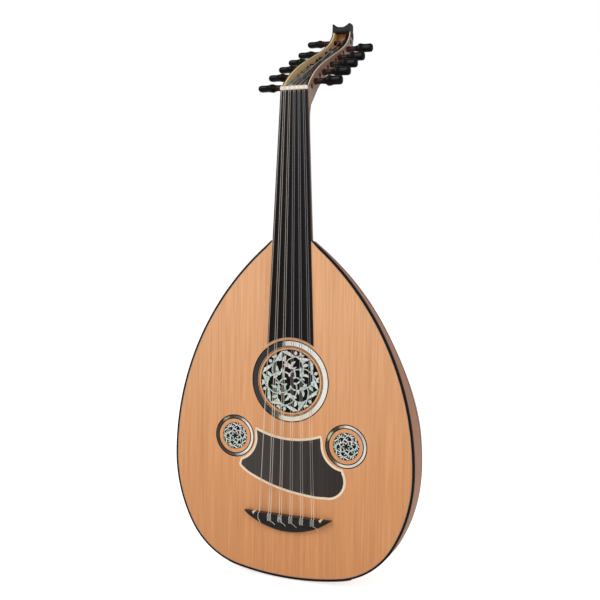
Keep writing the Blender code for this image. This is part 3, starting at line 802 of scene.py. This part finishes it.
def rose_motif(radius, line, fat):
    """What repeats six times: a vine each way from a cusp of the star, and the leaves on them."""
    right = [(0.21, 0), (0.31, -21), (0.40, -34), (0.50, -46), (0.58, -54), (0.68, -63),
             (0.77, -77), (0.86, -88), (0.97, -97)]
    left = [(0.21, 0), (0.29, 20), (0.36, 33), (0.45, 45), (0.56, 60), (0.70, 75), (0.77, 87),
            (0.80, 100), (0.86, 112), (0.97, 121)]
    petal = [(0.21, 0), (0.26, 9), (0.32, 21), (0.345, 30), (0.32, 39), (0.26, 51), (0.21, 60)]
    leaves = [((0.97, 9), (0.77, -17), 0.105, 0.06, 0), ((0.79, -24), (0.985, -51), 0.11, -0.08, 0),
              ((0.57, 17), (0.40, -21), 0.14, 0.1, 2), ((0.43, -12), (0.66, -24), 0.085, 0.16, 0),
              ((0.46, 2), (0.63, 8), 0.07, -0.1, 0), ((0.62, 10), (0.82, 3), 0.10, 0.12, 0),
              ((0.84, -20), (0.98, -19), 0.10, 0.0, 0), ((0.84, -46), (0.72, -36), 0.09, 0.1, 0),
              ((0.25, 0), (0.13, 0), 0.07, 0.0, 0), ((0.36, 33), (0.50, 27), 0.06, 0.2, 0),
              ((0.90, 22), (0.98, 33), 0.08, 0.1, 0)]
    shapes = [vine("vine", steps, radius, line) for steps in (right, left, petal)]
    for start, end, width, lean, cusps in leaves:
        outline = leaf_between(start, end, width * fat, radius, lean, cusps)
        outline = [p if p.length < radius else p.normalized() * radius for p in outline]
        shapes.append(plate("leaf", [outline], 1.0 * MM))
    return joined("rose_motif", shapes)


def build_rose(name, hole, radius, line, fat):
    motif = rose_motif(radius, line, fat)
    mesh = grow(name, motif, "copies", "abalone", count=STAR_POINTS, start=STAR_TURN,
                step=2 * math.pi / STAR_POINTS, seed=5)
    mesh.transform(upright((hole.x, 1.3 * MM, hole.y)))
    keep(name + "_fretwork", mesh, "abalone", replaces=name)
    # A black disc behind the fretwork: painted shade standing in for the dark inside of the bowl
    # seen through the rose
    disc(name + "_backing", hole, 1.9 * MM, 0.5 * MM, "black", radius)


def build_rosettes():
    # The rings' stops are a painted reflection: dark navy and brown on the left, silver and white
    # on the right; the bass ring's pale streak is a painted highlight, the treble ring's green
    # plate the shell's own colour
    ivory, white, silver = rgb(250, 244, 228), rgb(252, 252, 248), rgb(196, 196, 200)
    navy, brown, green = rgb(32, 31, 36), rgb(54, 38, 29), rgb(188, 200, 172)
    build_rose("rose_large", BIG_HOLE, BIG_ROSE, 0.027, 1.0)
    build_ring("ring_large", BIG_HOLE, BIG_RING, 24,
               [(0.0, white), (0.12, ivory), (0.2, white), (0.29, ivory), (0.31, silver),
                (0.325, navy), (0.50, navy), (0.69, rgb(40, 36, 38)), (0.735, rgb(120, 112, 100)),
                (0.76, ivory), (0.85, rgb(244, 236, 216)), (1.0, white)])
    for side, hole in SMALL_HOLES.items():
        build_rose(f"rose_{side}", hole, SMALL_ROSE, 0.05, 0.56)
    build_ring("ring_bass", SMALL_HOLES["bass"], SMALL_RING, 16,
               [(0.0, ivory), (0.17, white), (0.23, rgb(120, 108, 98)), (0.32, rgb(40, 36, 36)),
                (0.375, rgb(176, 178, 150)), (0.40, rgb(34, 34, 40)), (0.55, rgb(50, 38, 30)),
                (0.70, brown), (0.78, rgb(70, 76, 92)), (0.83, silver), (0.89, white),
                (1.0, ivory)])
    build_ring("ring_treble", SMALL_HOLES["treble"], SMALL_RING, 16,
               [(0.0, ivory), (0.15, silver), (0.28, ivory), (0.335, rgb(120, 104, 84)),
                (0.36, brown), (0.40, brown), (0.43, green), (0.48, green), (0.50, brown),
                (0.62, rgb(52, 36, 26)), (0.68, rgb(96, 74, 54)), (0.74, ivory),
                (0.85, rgb(222, 222, 222)), (1.0, ivory)])


def pickguard_outline():
    """Hollowed round the three rings, with a slanting lower edge and a round treble corner."""
    treble_hole, bass_hole = SMALL_HOLES["treble"], SMALL_HOLES["bass"]
    top = arc((2.2 * MM, BIG_HOLE[1] + 49.5 * MM), 130 * MM, -113.7, -70.1, 40)
    treble = arc((treble_hole[0] - 1.7 * MM, treble_hole[1] - 0.3 * MM), 33 * MM, 178, 265, 40)
    corner = arc((57 * MM, 143.7 * MM), 25 * MM, 30, -95, 40)
    slope = [Vector(point) * MM for point in ((38, 118.3), (2, 122.3), (-29.5, 129.9), (-57.9, 141),
                                              (-71.5, 149.8), (-74.3, 153.6))]
    bass = arc(bass_hole, 33.5 * MM, -71, 8, 40)
    return top + treble + corner + smooth_path([corner[-1], *slope])[1:] + bass


def build_pickguard():
    outline = pickguard_outline()
    guard = flat_mesh("pickguard", [outline], -0.5 * MM, 0.1 * MM)
    keep("pickguard_veneer", guard, "guard", replaces="pickguard")
    border = strip("border", outline, 3.3 * MM, -0.62 * MM, 0.1 * MM, "holly", closed=True)
    keep("pickguard_border", border, "holly")


# ---------------------------------------------------------------- bridge

def bridge_depth(x):
    radius = (BRIDGE_HALF ** 2 + BRIDGE_DEPTH ** 2) / (2 * BRIDGE_DEPTH)
    return max(math.sqrt(max(radius ** 2 - x ** 2, 0)) - (radius - BRIDGE_DEPTH), 0.4 * MM)


def bridge_height(x):
    depth = bridge_depth(x)
    return -BRIDGE_TOP * (0.5 + 0.5 * min(1, depth / (0.3 * BRIDGE_DEPTH)) ** 0.7)


def build_bridge():
    rings = []
    for i in range(81):
        x = BRIDGE_HALF * (i / 40 - 1)
        depth, height = bridge_depth(x), bridge_height(x)
        tail = BRIDGE_FRONT - depth
        flat = min(TIE_BLOCK_DEPTH, 0.62 * depth)
        profile = [(0, BRIDGE_FRONT), (-0.93 * height, BRIDGE_FRONT),
                   (-height, BRIDGE_FRONT - 0.5 * MM), (-height, BRIDGE_FRONT - flat)]
        for k in range(1, 6):
            turn = math.pi / 2 * k / 6
            profile.append((-height * (0.3 + 0.7 * math.cos(turn)),
                            BRIDGE_FRONT - flat - (depth - flat) * math.sin(turn)))
        profile += [(-0.3 * height, tail), (0, tail)]
        rings.append([Vector((x, y, z)) for y, z in profile])
    cutters = [notch_block(side) for side in SIDES.values()]
    cutters += [tie_hole(x_bridge * MM) for _, x_bridge, _ in STRINGS]
    mesh = carve("bridge", loft("bridge", rings), cutters)
    keep("bridge_block", mesh, "bridge", replaces="bridge", smooth=30)
    reach = BRIDGE_HALF - 18.2 * MM
    lip = beveled_box("lip", (-reach, -8.7 * MM, BRIDGE_FRONT - 0.2 * MM),
                      (reach, -0.3 * MM, BRIDGE_FRONT + 0.25 * MM), 0.15 * MM)
    keep("bridge_front_strip", lip, "brown")
    # A pale holly block in each notch: a painted highlight that shows the notch pale in place of
    # its shadow
    for name, side in SIDES.items():
        x = side * NOTCH_PLACE
        seat = beveled_box("seat", (x - 2.4 * MM, -6.6 * MM, BRIDGE_FRONT - 3.7 * MM),
                           (x + 2.4 * MM, -0.2 * MM, BRIDGE_FRONT - 0.2 * MM), 0.3 * MM)
        keep(f"bridge_notch_inlay_{name}", seat, "holly")


def notch_block(side):
    x = side * NOTCH_PLACE
    return beveled_box("notch", (x - 2.5 * MM, -12 * MM, BRIDGE_FRONT - 3.8 * MM),
                       (x + 2.5 * MM, 1 * MM, BRIDGE_FRONT + 3 * MM), 1.2 * MM)


def tie_hole(x):
    work = bmesh.new()
    place = Matrix.Translation((x, -STRING_HEIGHT + 1.2 * MM, BRIDGE_FRONT - 5 * MM))
    bmesh.ops.create_cone(work, cap_ends=True, segments=12, radius1=0.8 * MM, radius2=0.8 * MM,
                          depth=20 * MM, matrix=place)
    return finished_mesh("tie_hole", work)


def beveled_box(name, low, high, width, segments=2):
    work = bmesh.new()
    low, high = Vector(low), Vector(high)
    bmesh.ops.create_cube(work, size=1, matrix=Matrix.Translation((low + high) / 2)
                          @ Matrix.Diagonal((*(high - low), 1)))
    bmesh.ops.bevel(work, geom=list(work.edges), offset=width, segments=segments, affect="EDGES")
    return finished_mesh(name, work)


def carve(name, mesh, cutters):
    """The mesh with the cutters taken away."""
    item = add_object(name, mesh)
    other = add_object(name + "_cutter", joined(name + "_cuts", cutters))
    modifier = item.modifiers.new("cut", "BOOLEAN")
    modifier.object = other
    modifier.solver = "EXACT"
    modifier.use_self = True
    result = evaluated_mesh(item)
    bpy.data.objects.remove(other)
    return result


# ---------------------------------------------------------------- bowl

def bowl_stations():
    first = 8 * MM
    start = Vector((first, first ** 2 / (2 * TAIL_ARC[0])))
    return [start, *[p for p in HALF if p.x >= first][1:]]


def build_bowl():
    stations = bowl_stations()
    inner = offset_path(stations, RIB_THICKNESS)
    flatten = 1 - math.cos(math.pi / RIB_COUNT / 2)
    for rib in range(RIB_COUNT):
        rings = []
        for out, back in zip(stations, inner):
            ring = []
            for k in range(9):
                lean = k / 4 - 1
                sunk = -0.5 * out.x * flatten * (1 - lean ** 2)
                ring.append(bowl_point(out.x, out.y, (rib + k / 8) / RIB_COUNT, sunk))
            for k in (2, 1, 0):
                ring.append(bowl_point(max(back.x, MM), min(back.y, BODY_LENGTH),
                                       (rib + k / 2) / RIB_COUNT))
            rings.append(ring)
        mesh = loft(f"rib_{rib + 1:02d}", rings)
        for loop in mesh.uv_layers[0].data:
            loop.uv = (loop.uv[0] + 0.37 * rib, loop.uv[1] + 0.11 * rib)
        keep(f"bowl_rib_{rib + 1:02d}", mesh, "staves", replaces=f"rib_{rib + 1:02d}",
             smooth=25)
    lines = []
    for seam in range(1, RIB_COUNT):
        path = [bowl_point(p.x, p.y, seam / RIB_COUNT, -0.15 * MM) for p in stations]
        lines.append(wire("fillet", path, 0.45 * MM, "black", 8))
    keep("bowl_fillets", joined("fillets", lines), "black")
    side = strip("side_line", around_body(0.0), 0.35 * MM, BOARD_THICKNESS,
                 BOARD_THICKNESS + 2 * MM, "black")
    keep("bowl_edge_line", side, "black")


def eased(value, start, end):
    """0 at start and 1 at end, with a smooth change between them."""
    share = min(max((value - start) / (end - start), 0), 1)
    return share ** 2 * (3 - 2 * share)


def bowl_rise(z):
    """How far the round of the bowl's section stands behind the soundboard at a height."""
    return BOWL_RISE * eased(z, *RISE_FADES) * eased(z, *RISE_GROWS)


def bowl_point(half, z, share, proud=0.0):
    """A point of the bowl, at a share of its section from side to side."""
    rise = bowl_rise(z)
    lean = math.atan2(rise, half)
    angle = share * (math.pi + 2 * lean) - lean
    radius = math.hypot(half, rise) + proud
    return Vector((radius * math.cos(angle), BOWL_PLANE + rise + radius * math.sin(angle), z))


def tail_surface(x, y, proud):
    """A point over the tail end of the bowl, at (x, BOWL_PLANE + y)."""
    radius = math.hypot(x, y)
    for a, b in zip(HALF, HALF[1:]):
        if a.x <= radius < b.x:
            along = (b - a).normalized()
            z = a.y + (b.y - a.y) * (radius - a.x) / (b.x - a.x)
            outward = Vector((along.y, -along.x)) * proud
            scale = (radius + outward.x) / radius if radius > 1e-6 else 1.0
            return Vector((x * scale, BOWL_PLANE + y * scale, z + outward.y))


def build_end_clasp():
    reach, middle_depth, end_depth = 92 * MM, 26 * MM, 4 * MM
    rings = []
    for i in range(61):
        x = reach * (i / 30 - 1)
        depth = end_depth + (middle_depth - end_depth) * math.cos(x / reach * math.pi / 2) ** 1.5
        ring = [tail_surface(x, depth * k / 8, 1.7 * MM) for k in range(9)]
        rings.append(ring + [tail_surface(x, depth * (1.01 - k), 0.1 * MM) for k in range(2)])
    keep("end_clasp_strip", loft("end_clasp", rings), "rosewood", replaces="end_clasp")


# ---------------------------------------------------------------- neck

def squared(value, power):
    """A sine or a cosine pushed from a circle towards a square."""
    return math.copysign(abs(value) ** (2 / power), value)


def half_round(half, depth, z, squareness=2.0, count=32):
    """The neck's section from the fingerboard's underside to a depth."""
    points = []
    for i in range(count + 1):
        turn = math.pi * i / count
        points.append(Vector((squared(math.cos(turn), squareness) * half,
                              NECK_TOP + (depth - NECK_TOP) * squared(math.sin(turn), squareness),
                              z)))
    return points


def build_neck():
    stations = [Vector(s) for s in ((468.15, 30.5, 2.0), (500, 28.5, 2.0), (560, 26, 2.0),
                                    (620, 25, 2.0), (640, 25.5, 2.2), (656, 28, 3.0),
                                    (664, 30, 4.0), (670.5, 31, 5.0))]
    rings = []
    for z, depth, squareness in smooth_path(stations, 6):
        rings.append(half_round(taper_half(z * MM) - 0.2 * MM, depth * MM, z * MM, squareness))
    seats = [flat_mesh("seat", [seat_outline()], -CHEEK_THICKNESS - 0.1 * MM, 20 * MM,
                       place=cheek_place(side)) for side in (-1, 1)]
    mesh = carve("neck", loft("neck", rings), seats)
    inside = taper_half(NUT_FRONT) - CHEEK_THICKNESS - 0.4 * MM
    ledge = beveled_box("ledge", (-inside, NECK_TOP, 668 * MM), (inside, 8 * MM, NUT_BACK),
                        0.3 * MM)
    both = joined("neck", [painted(mesh, "neck"), painted(ledge, "neck")])
    keep("neck_shaft", both, "neck", replaces="neck")
    collar = [half_round(taper_half(z) - 0.1 * MM, 30.7 * MM, z)
              for z in (BODY_LENGTH - 0.2 * MM, BODY_LENGTH + 1.4 * MM)]
    keep("neck_joint_line", loft("collar", collar), "black")


def build_fingerboard():
    foot, end = 34 * MM, 325.7 * MM
    top, low = NUT_FRONT - 0.2 * MM, BODY_LENGTH + 0.2 * MM
    upper = [Vector((-taper_half(top), top)), Vector((taper_half(top), top))]
    dip = arc(BIG_HOLE, 60.5 * MM, 55.6, 124.4, 48)
    tongue = flat_mesh("tongue", [[Vector((-foot, end)), *upper, Vector((foot, end)), *dip]],
                       BOARD_TOP, -0.05 * MM)
    over_neck = [Vector((-taper_half(low), low)), *upper, Vector((taper_half(low), low))]
    under = flat_mesh("under", [over_neck], BOARD_TOP * 0.9, 3.05 * MM)
    mesh = joined("fingerboard", [painted(part, "ebony") for part in (tongue, under)])
    keep("fingerboard_ebony", mesh, "ebony", replaces="fingerboard")


def build_nut():
    low, high = NUT_LOW, NUT_HIGH
    slots = []
    for x_nut, _, thickness in STRINGS:
        wide = thickness * MM / 2 + 0.1 * MM
        slots.append(beveled_box("slot", (x_nut * MM - wide, low.y - 2 * MM, low.z - 1 * MM),
                                 (x_nut * MM + wide, low.y + 0.15 * MM, high.z + 1 * MM),
                                 0.05 * MM, 1))
    mesh = carve("nut", beveled_box("nut", low, high, 0.7 * MM, 3), slots)
    keep("nut_bone", mesh, "bone", replaces="nut")


# ---------------------------------------------------------------- pegbox

def cheek_place(side):
    """Takes a plate drawn as (depth, height over the nut) to one cheek's outer plane."""
    turn = Matrix(((0, side, 0, 0), (1, 0, 0, 0), (0, 0, 1, 0), (0, 0, 0, 1)))
    lean = Matrix.Rotation(-side * math.atan(TAPER), 4, "Y")
    return Matrix.Translation((side * HALF_WIDTH_AT_NUT, 0, NUT_FRONT)) @ lean @ turn


def side_view(points):
    return [Vector((y * MM, z * MM - NUT_FRONT)) for y, z in points]


def seat_outline():
    back = [(y + 0.2, z - 0.2) for y, z in BACK[:3]]
    return side_view([(-1, 643.2), (-1, 720), (60, 720)] + back[::-1])


def rim_path():
    return smooth_path(side_view([(3.1, 677.2), *RIM, (186, PEGBOX_END / MM)]))


def back_path():
    return smooth_path(side_view([*BACK, (201.3, PEGBOX_END / MM)]))


def peg_axes():
    """Each peg's point on the centre plane, its side and its body's name."""
    axes = []
    for name, joint in JOINTS.items():
        axes.append((name, SIDES[name.split("_")[1]], Vector(joint["pos_m"])))
    return axes


def cheek_holes(side, depth):
    """Round holes for the pegs in a cheek's own drawing, at a depth inside its outer face."""
    back = cheek_place(side).inverted()
    holes = []
    for _, _, axis in peg_axes():
        wall = Vector((side * (taper_half(axis.z) - depth), axis.y, axis.z))
        spot = back @ wall
        holes.append(circle((spot.x, spot.z), SHAFT_RADIUS + 0.32 * MM, 32))
    return holes


def edge_cap(path, low, high, inside, outside, place):
    """A strip lying along the edge of a plate, from low to high over its edge line."""
    rings = []
    for a, b in zip(offset_path(path, low), offset_path(path, high)):
        ring = [(a.x, inside, a.y), (a.x, outside, a.y), (b.x, outside, b.y), (b.x, inside, b.y)]
        rings.append([place @ Vector(point) for point in ring])
    return loft("edge_cap", rings)


def build_cheeks():
    rim, back = rim_path(), back_path()
    outline = rim + back[::-1]
    for name, side in SIDES.items():
        place = cheek_place(side)
        mesh = flat_mesh("cheek", [outline, *cheek_holes(side, 1.5 * MM)], -CHEEK_THICKNESS, 0,
                         0.25 * MM, place)
        keep(f"cheek_{name}", mesh, "rosewood", replaces=f"pegbox_cheek_{name}",
             smooth=30)
        inner = offset_path(rim, -0.6 * MM)
        under = offset_path(back, 4 * MM)
        lining = flat_mesh("lining", [inner + under[::-1][:-3], *cheek_holes(side, 3.2 * MM)],
                           -CHEEK_THICKNESS - 0.3 * MM, -CHEEK_THICKNESS + 0.05 * MM, place=place)
        keep(f"cheek_lining_{name}", lining, "golden" if side < 0 else "black")
        # name, finish, low and high over the rim, inner and outer reach from the outer face
        caps = [("black", "black", 0.0, 0.5, -3.3, 0.3)]
        if side > 0:
            caps += [("white", "holly", 0.1, 0.62, -0.4, 0.6)]
        else:
            caps += [("golden", "golden", 0.0, 0.6, -3.45, -1.5)]
        for label, finish, low, high, inside, outside in caps:
            cap = edge_cap(rim, low * MM, high * MM, inside * MM, outside * MM, place)
            keep(f"rim_{label}_{name}", cap, finish)
        if side > 0:
            band = edge_cap(above(rim, 700), -0.4 * MM, 0.45 * MM, -6 * MM, -3.2 * MM, place)
            keep("rim_inner_band_treble", band, "black")
        low_cap = edge_cap(back, -0.45 * MM, 0.0, -3.1 * MM, 0.12 * MM, place)
        keep(f"back_edge_{name}", low_cap, "black")
        tip_cap = flat_mesh("tip_cap", [above(rim, 785) + above(back, 782)[::-1]], 0.05 * MM,
                            0.5 * MM, place=place)
        keep(f"cheek_tip_{name}", tip_cap, "finial")


def build_pegbox_back():
    course = [*BACK[1:], (201.3, PEGBOX_END / MM)]
    outer = [p for p in smooth_path([Vector(point) * MM for point in course]) if p.y > 671.5 * MM]
    inner = offset_path(outer, 3.5 * MM)
    rings = []
    for back, front in zip(outer, inner):
        ring = []
        for sign, (y, z) in ((-1, back), (1, back), (1, front), (-1, front)):
            reach = taper_half(z) - CHEEK_THICKNESS - 0.1 * MM
            ring.append(Vector((sign * reach, y, z)))
        rings.append(ring)
    keep("pegbox_floor", loft("pegbox_floor", rings), "rosewood", replaces="pegbox_back")
    # black along the floor, and amber where it turns up to the finial
    for name, low, high, finish in (("floor", 0, 752, "black"), ("end", 751, 900, "amber")):
        lined = []
        for ring in rings:
            if low * MM < ring[2].z < high * MM:
                out = (ring[2] - ring[1]).normalized() * 0.3 * MM
                lined.append([ring[3] + out, ring[2] + out, ring[2], ring[3]])
        keep(f"pegbox_{name}_lining", loft("lining", lined), finish)


def above(path, height):
    """The points of a side view that lie above a height."""
    return [p for p in path if p.y > height * MM - NUT_FRONT]


def build_finial():
    """A carved cap with an ear over each cheek and a hollow between them."""
    half = taper_half(PEGBOX_END)
    rows = []
    for k in range(17):
        y = (184 + 17.5 * k / 16) * MM
        swell = math.sin(math.pi * k / 16) ** 0.5
        ring = []
        for i in range(33):
            x = half * (1 - i / 16)
            ear = abs(x) / half
            rise = 800.4 + 5.2 * ear ** 2.4 - 1.2 * max(ear - 0.86, 0) / 0.14
            ring.append(Vector((x * (0.985 + 0.025 * swell), y,
                                (rise - (1 - swell) * 2.2) * MM)))
        rows.append(ring + [Vector((side * half * 0.99, y, 791.6 * MM)) for side in (-1, 1)])
    parts = [painted(loft("finial", rows), "finial"),
             painted(beveled_box("brow", (-half + 2.2 * MM, 182.8 * MM, 792 * MM),
                                 (half - 2.2 * MM, 184.6 * MM, 796.5 * MM), 0.8 * MM), "finial")]
    lip = [(0.45, 184.4, 799.2), (0.8, 183.9, 801.2), (1, 183.8, 803.2), (1, 190, 804.1),
           (1, 198, 803.2), (0.98, 201.2, 799.5), (0.96, 201.6, 794)]
    for side in (-1, 1):
        x = side * (half - 0.9 * MM)
        course = [Vector((x * share, y * MM, z * MM)) for share, y, z in lip]
        parts.append(wire("lip", smooth_path(course, 6), 0.75 * MM, "finial", 8))
    keep("finial_carving", joined("finial", parts), "finial", replaces="finial",
         smooth=35)


# ---------------------------------------------------------------- pegs and strings

def build_pegs():
    head = smooth_path([Vector(station) for station in PEG_HEAD], 3)[1:]
    profile = [(*station, 1, 2) for station in PEG_SHANK] + head
    for name, side, axis in peg_axes():
        wall = taper_half(axis.z)
        face = wall + 0.8 * MM
        stations = [(-wall - 0.3 * MM, 2.7, 1, 2), (-wall, 3.0, 1, 2)]
        stations += [(face + out * MM, *rest) for out, *rest in profile]
        rings = []
        for x, radius, flatness, power in stations:
            # the heads on the bass side are turned edge on
            deep, high = (flatness, 1) if side > 0 else (1, flatness)
            ring = []
            for k in range(32):
                a = math.pi * k / 16
                ring.append(Vector((
                    side * x, axis.y + radius * deep * MM * squared(math.sin(a), power),
                    axis.z + radius * high * MM * squared(math.cos(a), power))))
            rings.append(ring)
        keep(name + "_turned", loft(name, rings), "peg", body=name, replaces=name,
             smooth=35)


def peg_of_string(index):
    """Outer strings go to the near pegs: six to the bass side, five to the treble side."""
    if index < 6:
        return f"peg_bass_{index + 1}"
    return f"peg_treble_{11 - index}"


def string_finish(index):
    return "wound" if index < WOUND_STRINGS else "nylon"


def string_route(index):
    x_nut, x_bridge, thickness = (value * MM for value in STRINGS[index])
    radius = thickness / 2
    peg = Vector(JOINTS[peg_of_string(index)]["pos_m"]).yz
    over_nut = NUT_LOW.y + 0.05 * MM - radius
    corner = Vector((over_nut, NUT_BACK + 0.3 * MM + radius))
    reach = SHAFT_RADIUS + 0.1 * MM + radius
    to_peg = peg - corner
    slope = math.atan2(to_peg.y, to_peg.x) + math.asin(reach / to_peg.length)
    route = [Vector((x_bridge, -STRING_HEIGHT, BRIDGE_FRONT + 0.3 * MM)),
             Vector((x_nut, over_nut, NUT_FRONT))]
    for back, up in ((0, -0.9), (0.08, -0.3), (0.4, 0.1)):
        route.append(Vector((x_nut, corner.x + back * MM, corner.y + up * MM)))
    for turn in range(0, 61, 12):
        angle = slope + math.pi / 2 - math.radians(turn)
        route.append(Vector((0.7 * x_nut, peg.x + reach * math.cos(angle),
                             peg.y + reach * math.sin(angle))))
    return route, radius


def build_strings():
    for index in range(len(STRINGS)):
        route, radius = string_route(index)
        finish = string_finish(index)
        name = f"string_{index + 1:02d}"
        keep(name + "_wire", wire("string", route, radius, finish), finish, replaces=name)
        peg = peg_of_string(index)
        axis = Vector(JOINTS[peg]["pos_m"])
        side = SIDES[peg.split("_")[1]]
        turns = 3
        coil = grow("turns", line_mesh("seed", [(0, 0, 0), (0, 0, MM)]), "coil", finish,
                    turns=float(turns), coil_radius=SHAFT_RADIUS + 0.8 * radius,
                    length=2.2 * radius * turns, wire_radius=radius)
        coil.transform(Matrix.Translation((route[-1].x, axis.y, axis.z))
                       @ Matrix.Rotation(-side * math.pi / 2, 4, "Y"))
        keep(f"{peg}_string_turns", coil, finish, body=peg)


def build_ties():
    """Each string's loop over the bridge, and the loose end left after some of them."""
    loops, ends = {"wound": [], "nylon": []}, (0, 2, 4, 6, 10)
    for index, (_, x_bridge, thickness) in enumerate(STRINGS):
        radius = thickness * MM / 2
        over = BRIDGE_TOP - radius
        string = (-STRING_HEIGHT - over) / MM
        lines = [[(0, string, 0.5), (-0.3, 0.3, 0.4), (-0.9, -0.1, -0.8), (-1.3, -0.1, -4),
                  (-0.9, -0.1, -8.2), (-0.5, 0.4, -9.6), (-0.3, 1.6, -10.2)]]
        if index:
            lines.append([(0, string, 0.5), (0.2, 0.3, 0.3), (0.4, -0.1, -1.2), (0.5, -0.1, -5),
                          (0.3, -0.1, -8.4), (0.2, 1.4, -10)])
        if index in (3, 4):
            way = -1 if index % 2 else 1
            lines.append([(-1.4 * way, -0.5, -2), (0, -1.0, -4.5), (1.6 * way, -0.5, -7.5)])
        if index in ends:
            reach = 1.0 if index else 0.3
            lines.append([(0.4, -0.2, -9.2), (0.4 + 2.2 * reach, -0.6, -9.8),
                          (0.4 + 4.6 * reach, -0.5, -11.6), (0.4 + 6.6 * reach, 0.3, -13.8)])
        start = Vector((x_bridge * MM, over, BRIDGE_FRONT))
        for line in lines:
            path = smooth_path([start + Vector(point) * MM for point in line], 5)
            loops[string_finish(index)].append(wire("tie", path, radius * 0.62, "tie", 8))
    for kind, meshes in loops.items():
        keep(f"bridge_ties_{kind}", joined("ties", meshes), "tie")


# ---------------------------------------------------------------- room, light and camera

def build_room():
    reach, level = 6, -0.004
    mesh = bpy.data.meshes.new("floor")
    mesh.from_pydata([(x * reach, y * reach, level) for x, y in ((-1, -1), (1, -1), (1, 1),
                                                                 (-1, 1))], [], [(0, 1, 2, 3)])
    material, tree = new_material("pale_floor")
    colour = ramp(tree, noise(tree, place_vector(tree), 2.0), [(0.3, rgb(252, 252, 252)),
                                                               (0.7, WHITE)])
    seen = node(tree, "ShaderNodeLightPath").outputs["Is Camera Ray"]
    dress(material, colour, roughness=0.9, glow_colour=colour,
          glow=maths(tree, "MULTIPLY", seen, 0.75))
    mesh.materials.append(material)
    add_object("floor", mesh)

    world = bpy.data.worlds.new("studio")
    bpy.context.scene.world = world
    world.use_nodes = True
    tree = world.node_tree
    seen = node(tree, "ShaderNodeLightPath").outputs["Is Camera Ray"]
    set_inputs(tree.nodes["Background"], {
        "Color": (1, 1, 1, 1), "Strength": maths(tree, "MULTIPLY_ADD", seen, 0.58, 0.42)})


def area_light(name, place, target, width, power):
    data = bpy.data.lights.new(name, "AREA")
    data.shape = "RECTANGLE"
    data.size, data.size_y = width, width
    data.energy = power
    aim = (Vector(target) - Vector(place)).to_track_quat("-Z", "Y")
    lamp = add_object(name, data)
    lamp.matrix_world = Matrix.Translation(place) @ aim.to_matrix().to_4x4()


def build_camera():
    data = bpy.data.cameras.new("camera")
    data.lens = 52.6
    data.sensor_width = 36
    data.clip_start = 0.05
    camera = add_object("camera", data)
    aim = Matrix()
    for angle, axis in ((22.076, "Z"), (86.86, "X"), (0.83, "Z")):
        aim = aim @ Matrix.Rotation(math.radians(angle), 4, axis)
    camera.matrix_world = Matrix.Translation((0.4612, -1.1046, 0.4532)) @ aim
    bpy.context.scene.camera = camera


def finish_hidden_wood():
    """Blocks and braces inside the bowl keep their own shape, in raw spruce."""
    for name in ("neck_block", "tail_block", "brace_1", "brace_2", "brace_3"):
        item = frame["nodes"][name]
        item.data.materials.clear()
        item.data.materials.append(FINISH["spruce"])


FINISH = make_finishes()
TREES = {"strip": strip_tree(), "wire": wire_tree(), "coil": coil_tree(),
         "copies": ring_of_copies_tree()}
HALF = body_half(48)

build_board()
build_rosettes()
build_pickguard()
build_bridge()
build_bowl()
build_end_clasp()
build_neck()
build_fingerboard()
build_nut()
build_cheeks()
build_pegbox_back()
build_finial()
build_pegs()
build_strings()
build_ties()
finish_hidden_wood()
build_room()
area_light("key", (-0.7, -1.6, 1.7), (0, 0, 0.35), 1.2, 18)
area_light("fill", (1.9, -0.9, 0.9), (0, 0, 0.35), 1.4, 9)
build_camera()
bpy.context.scene.view_settings.view_transform = "Standard"
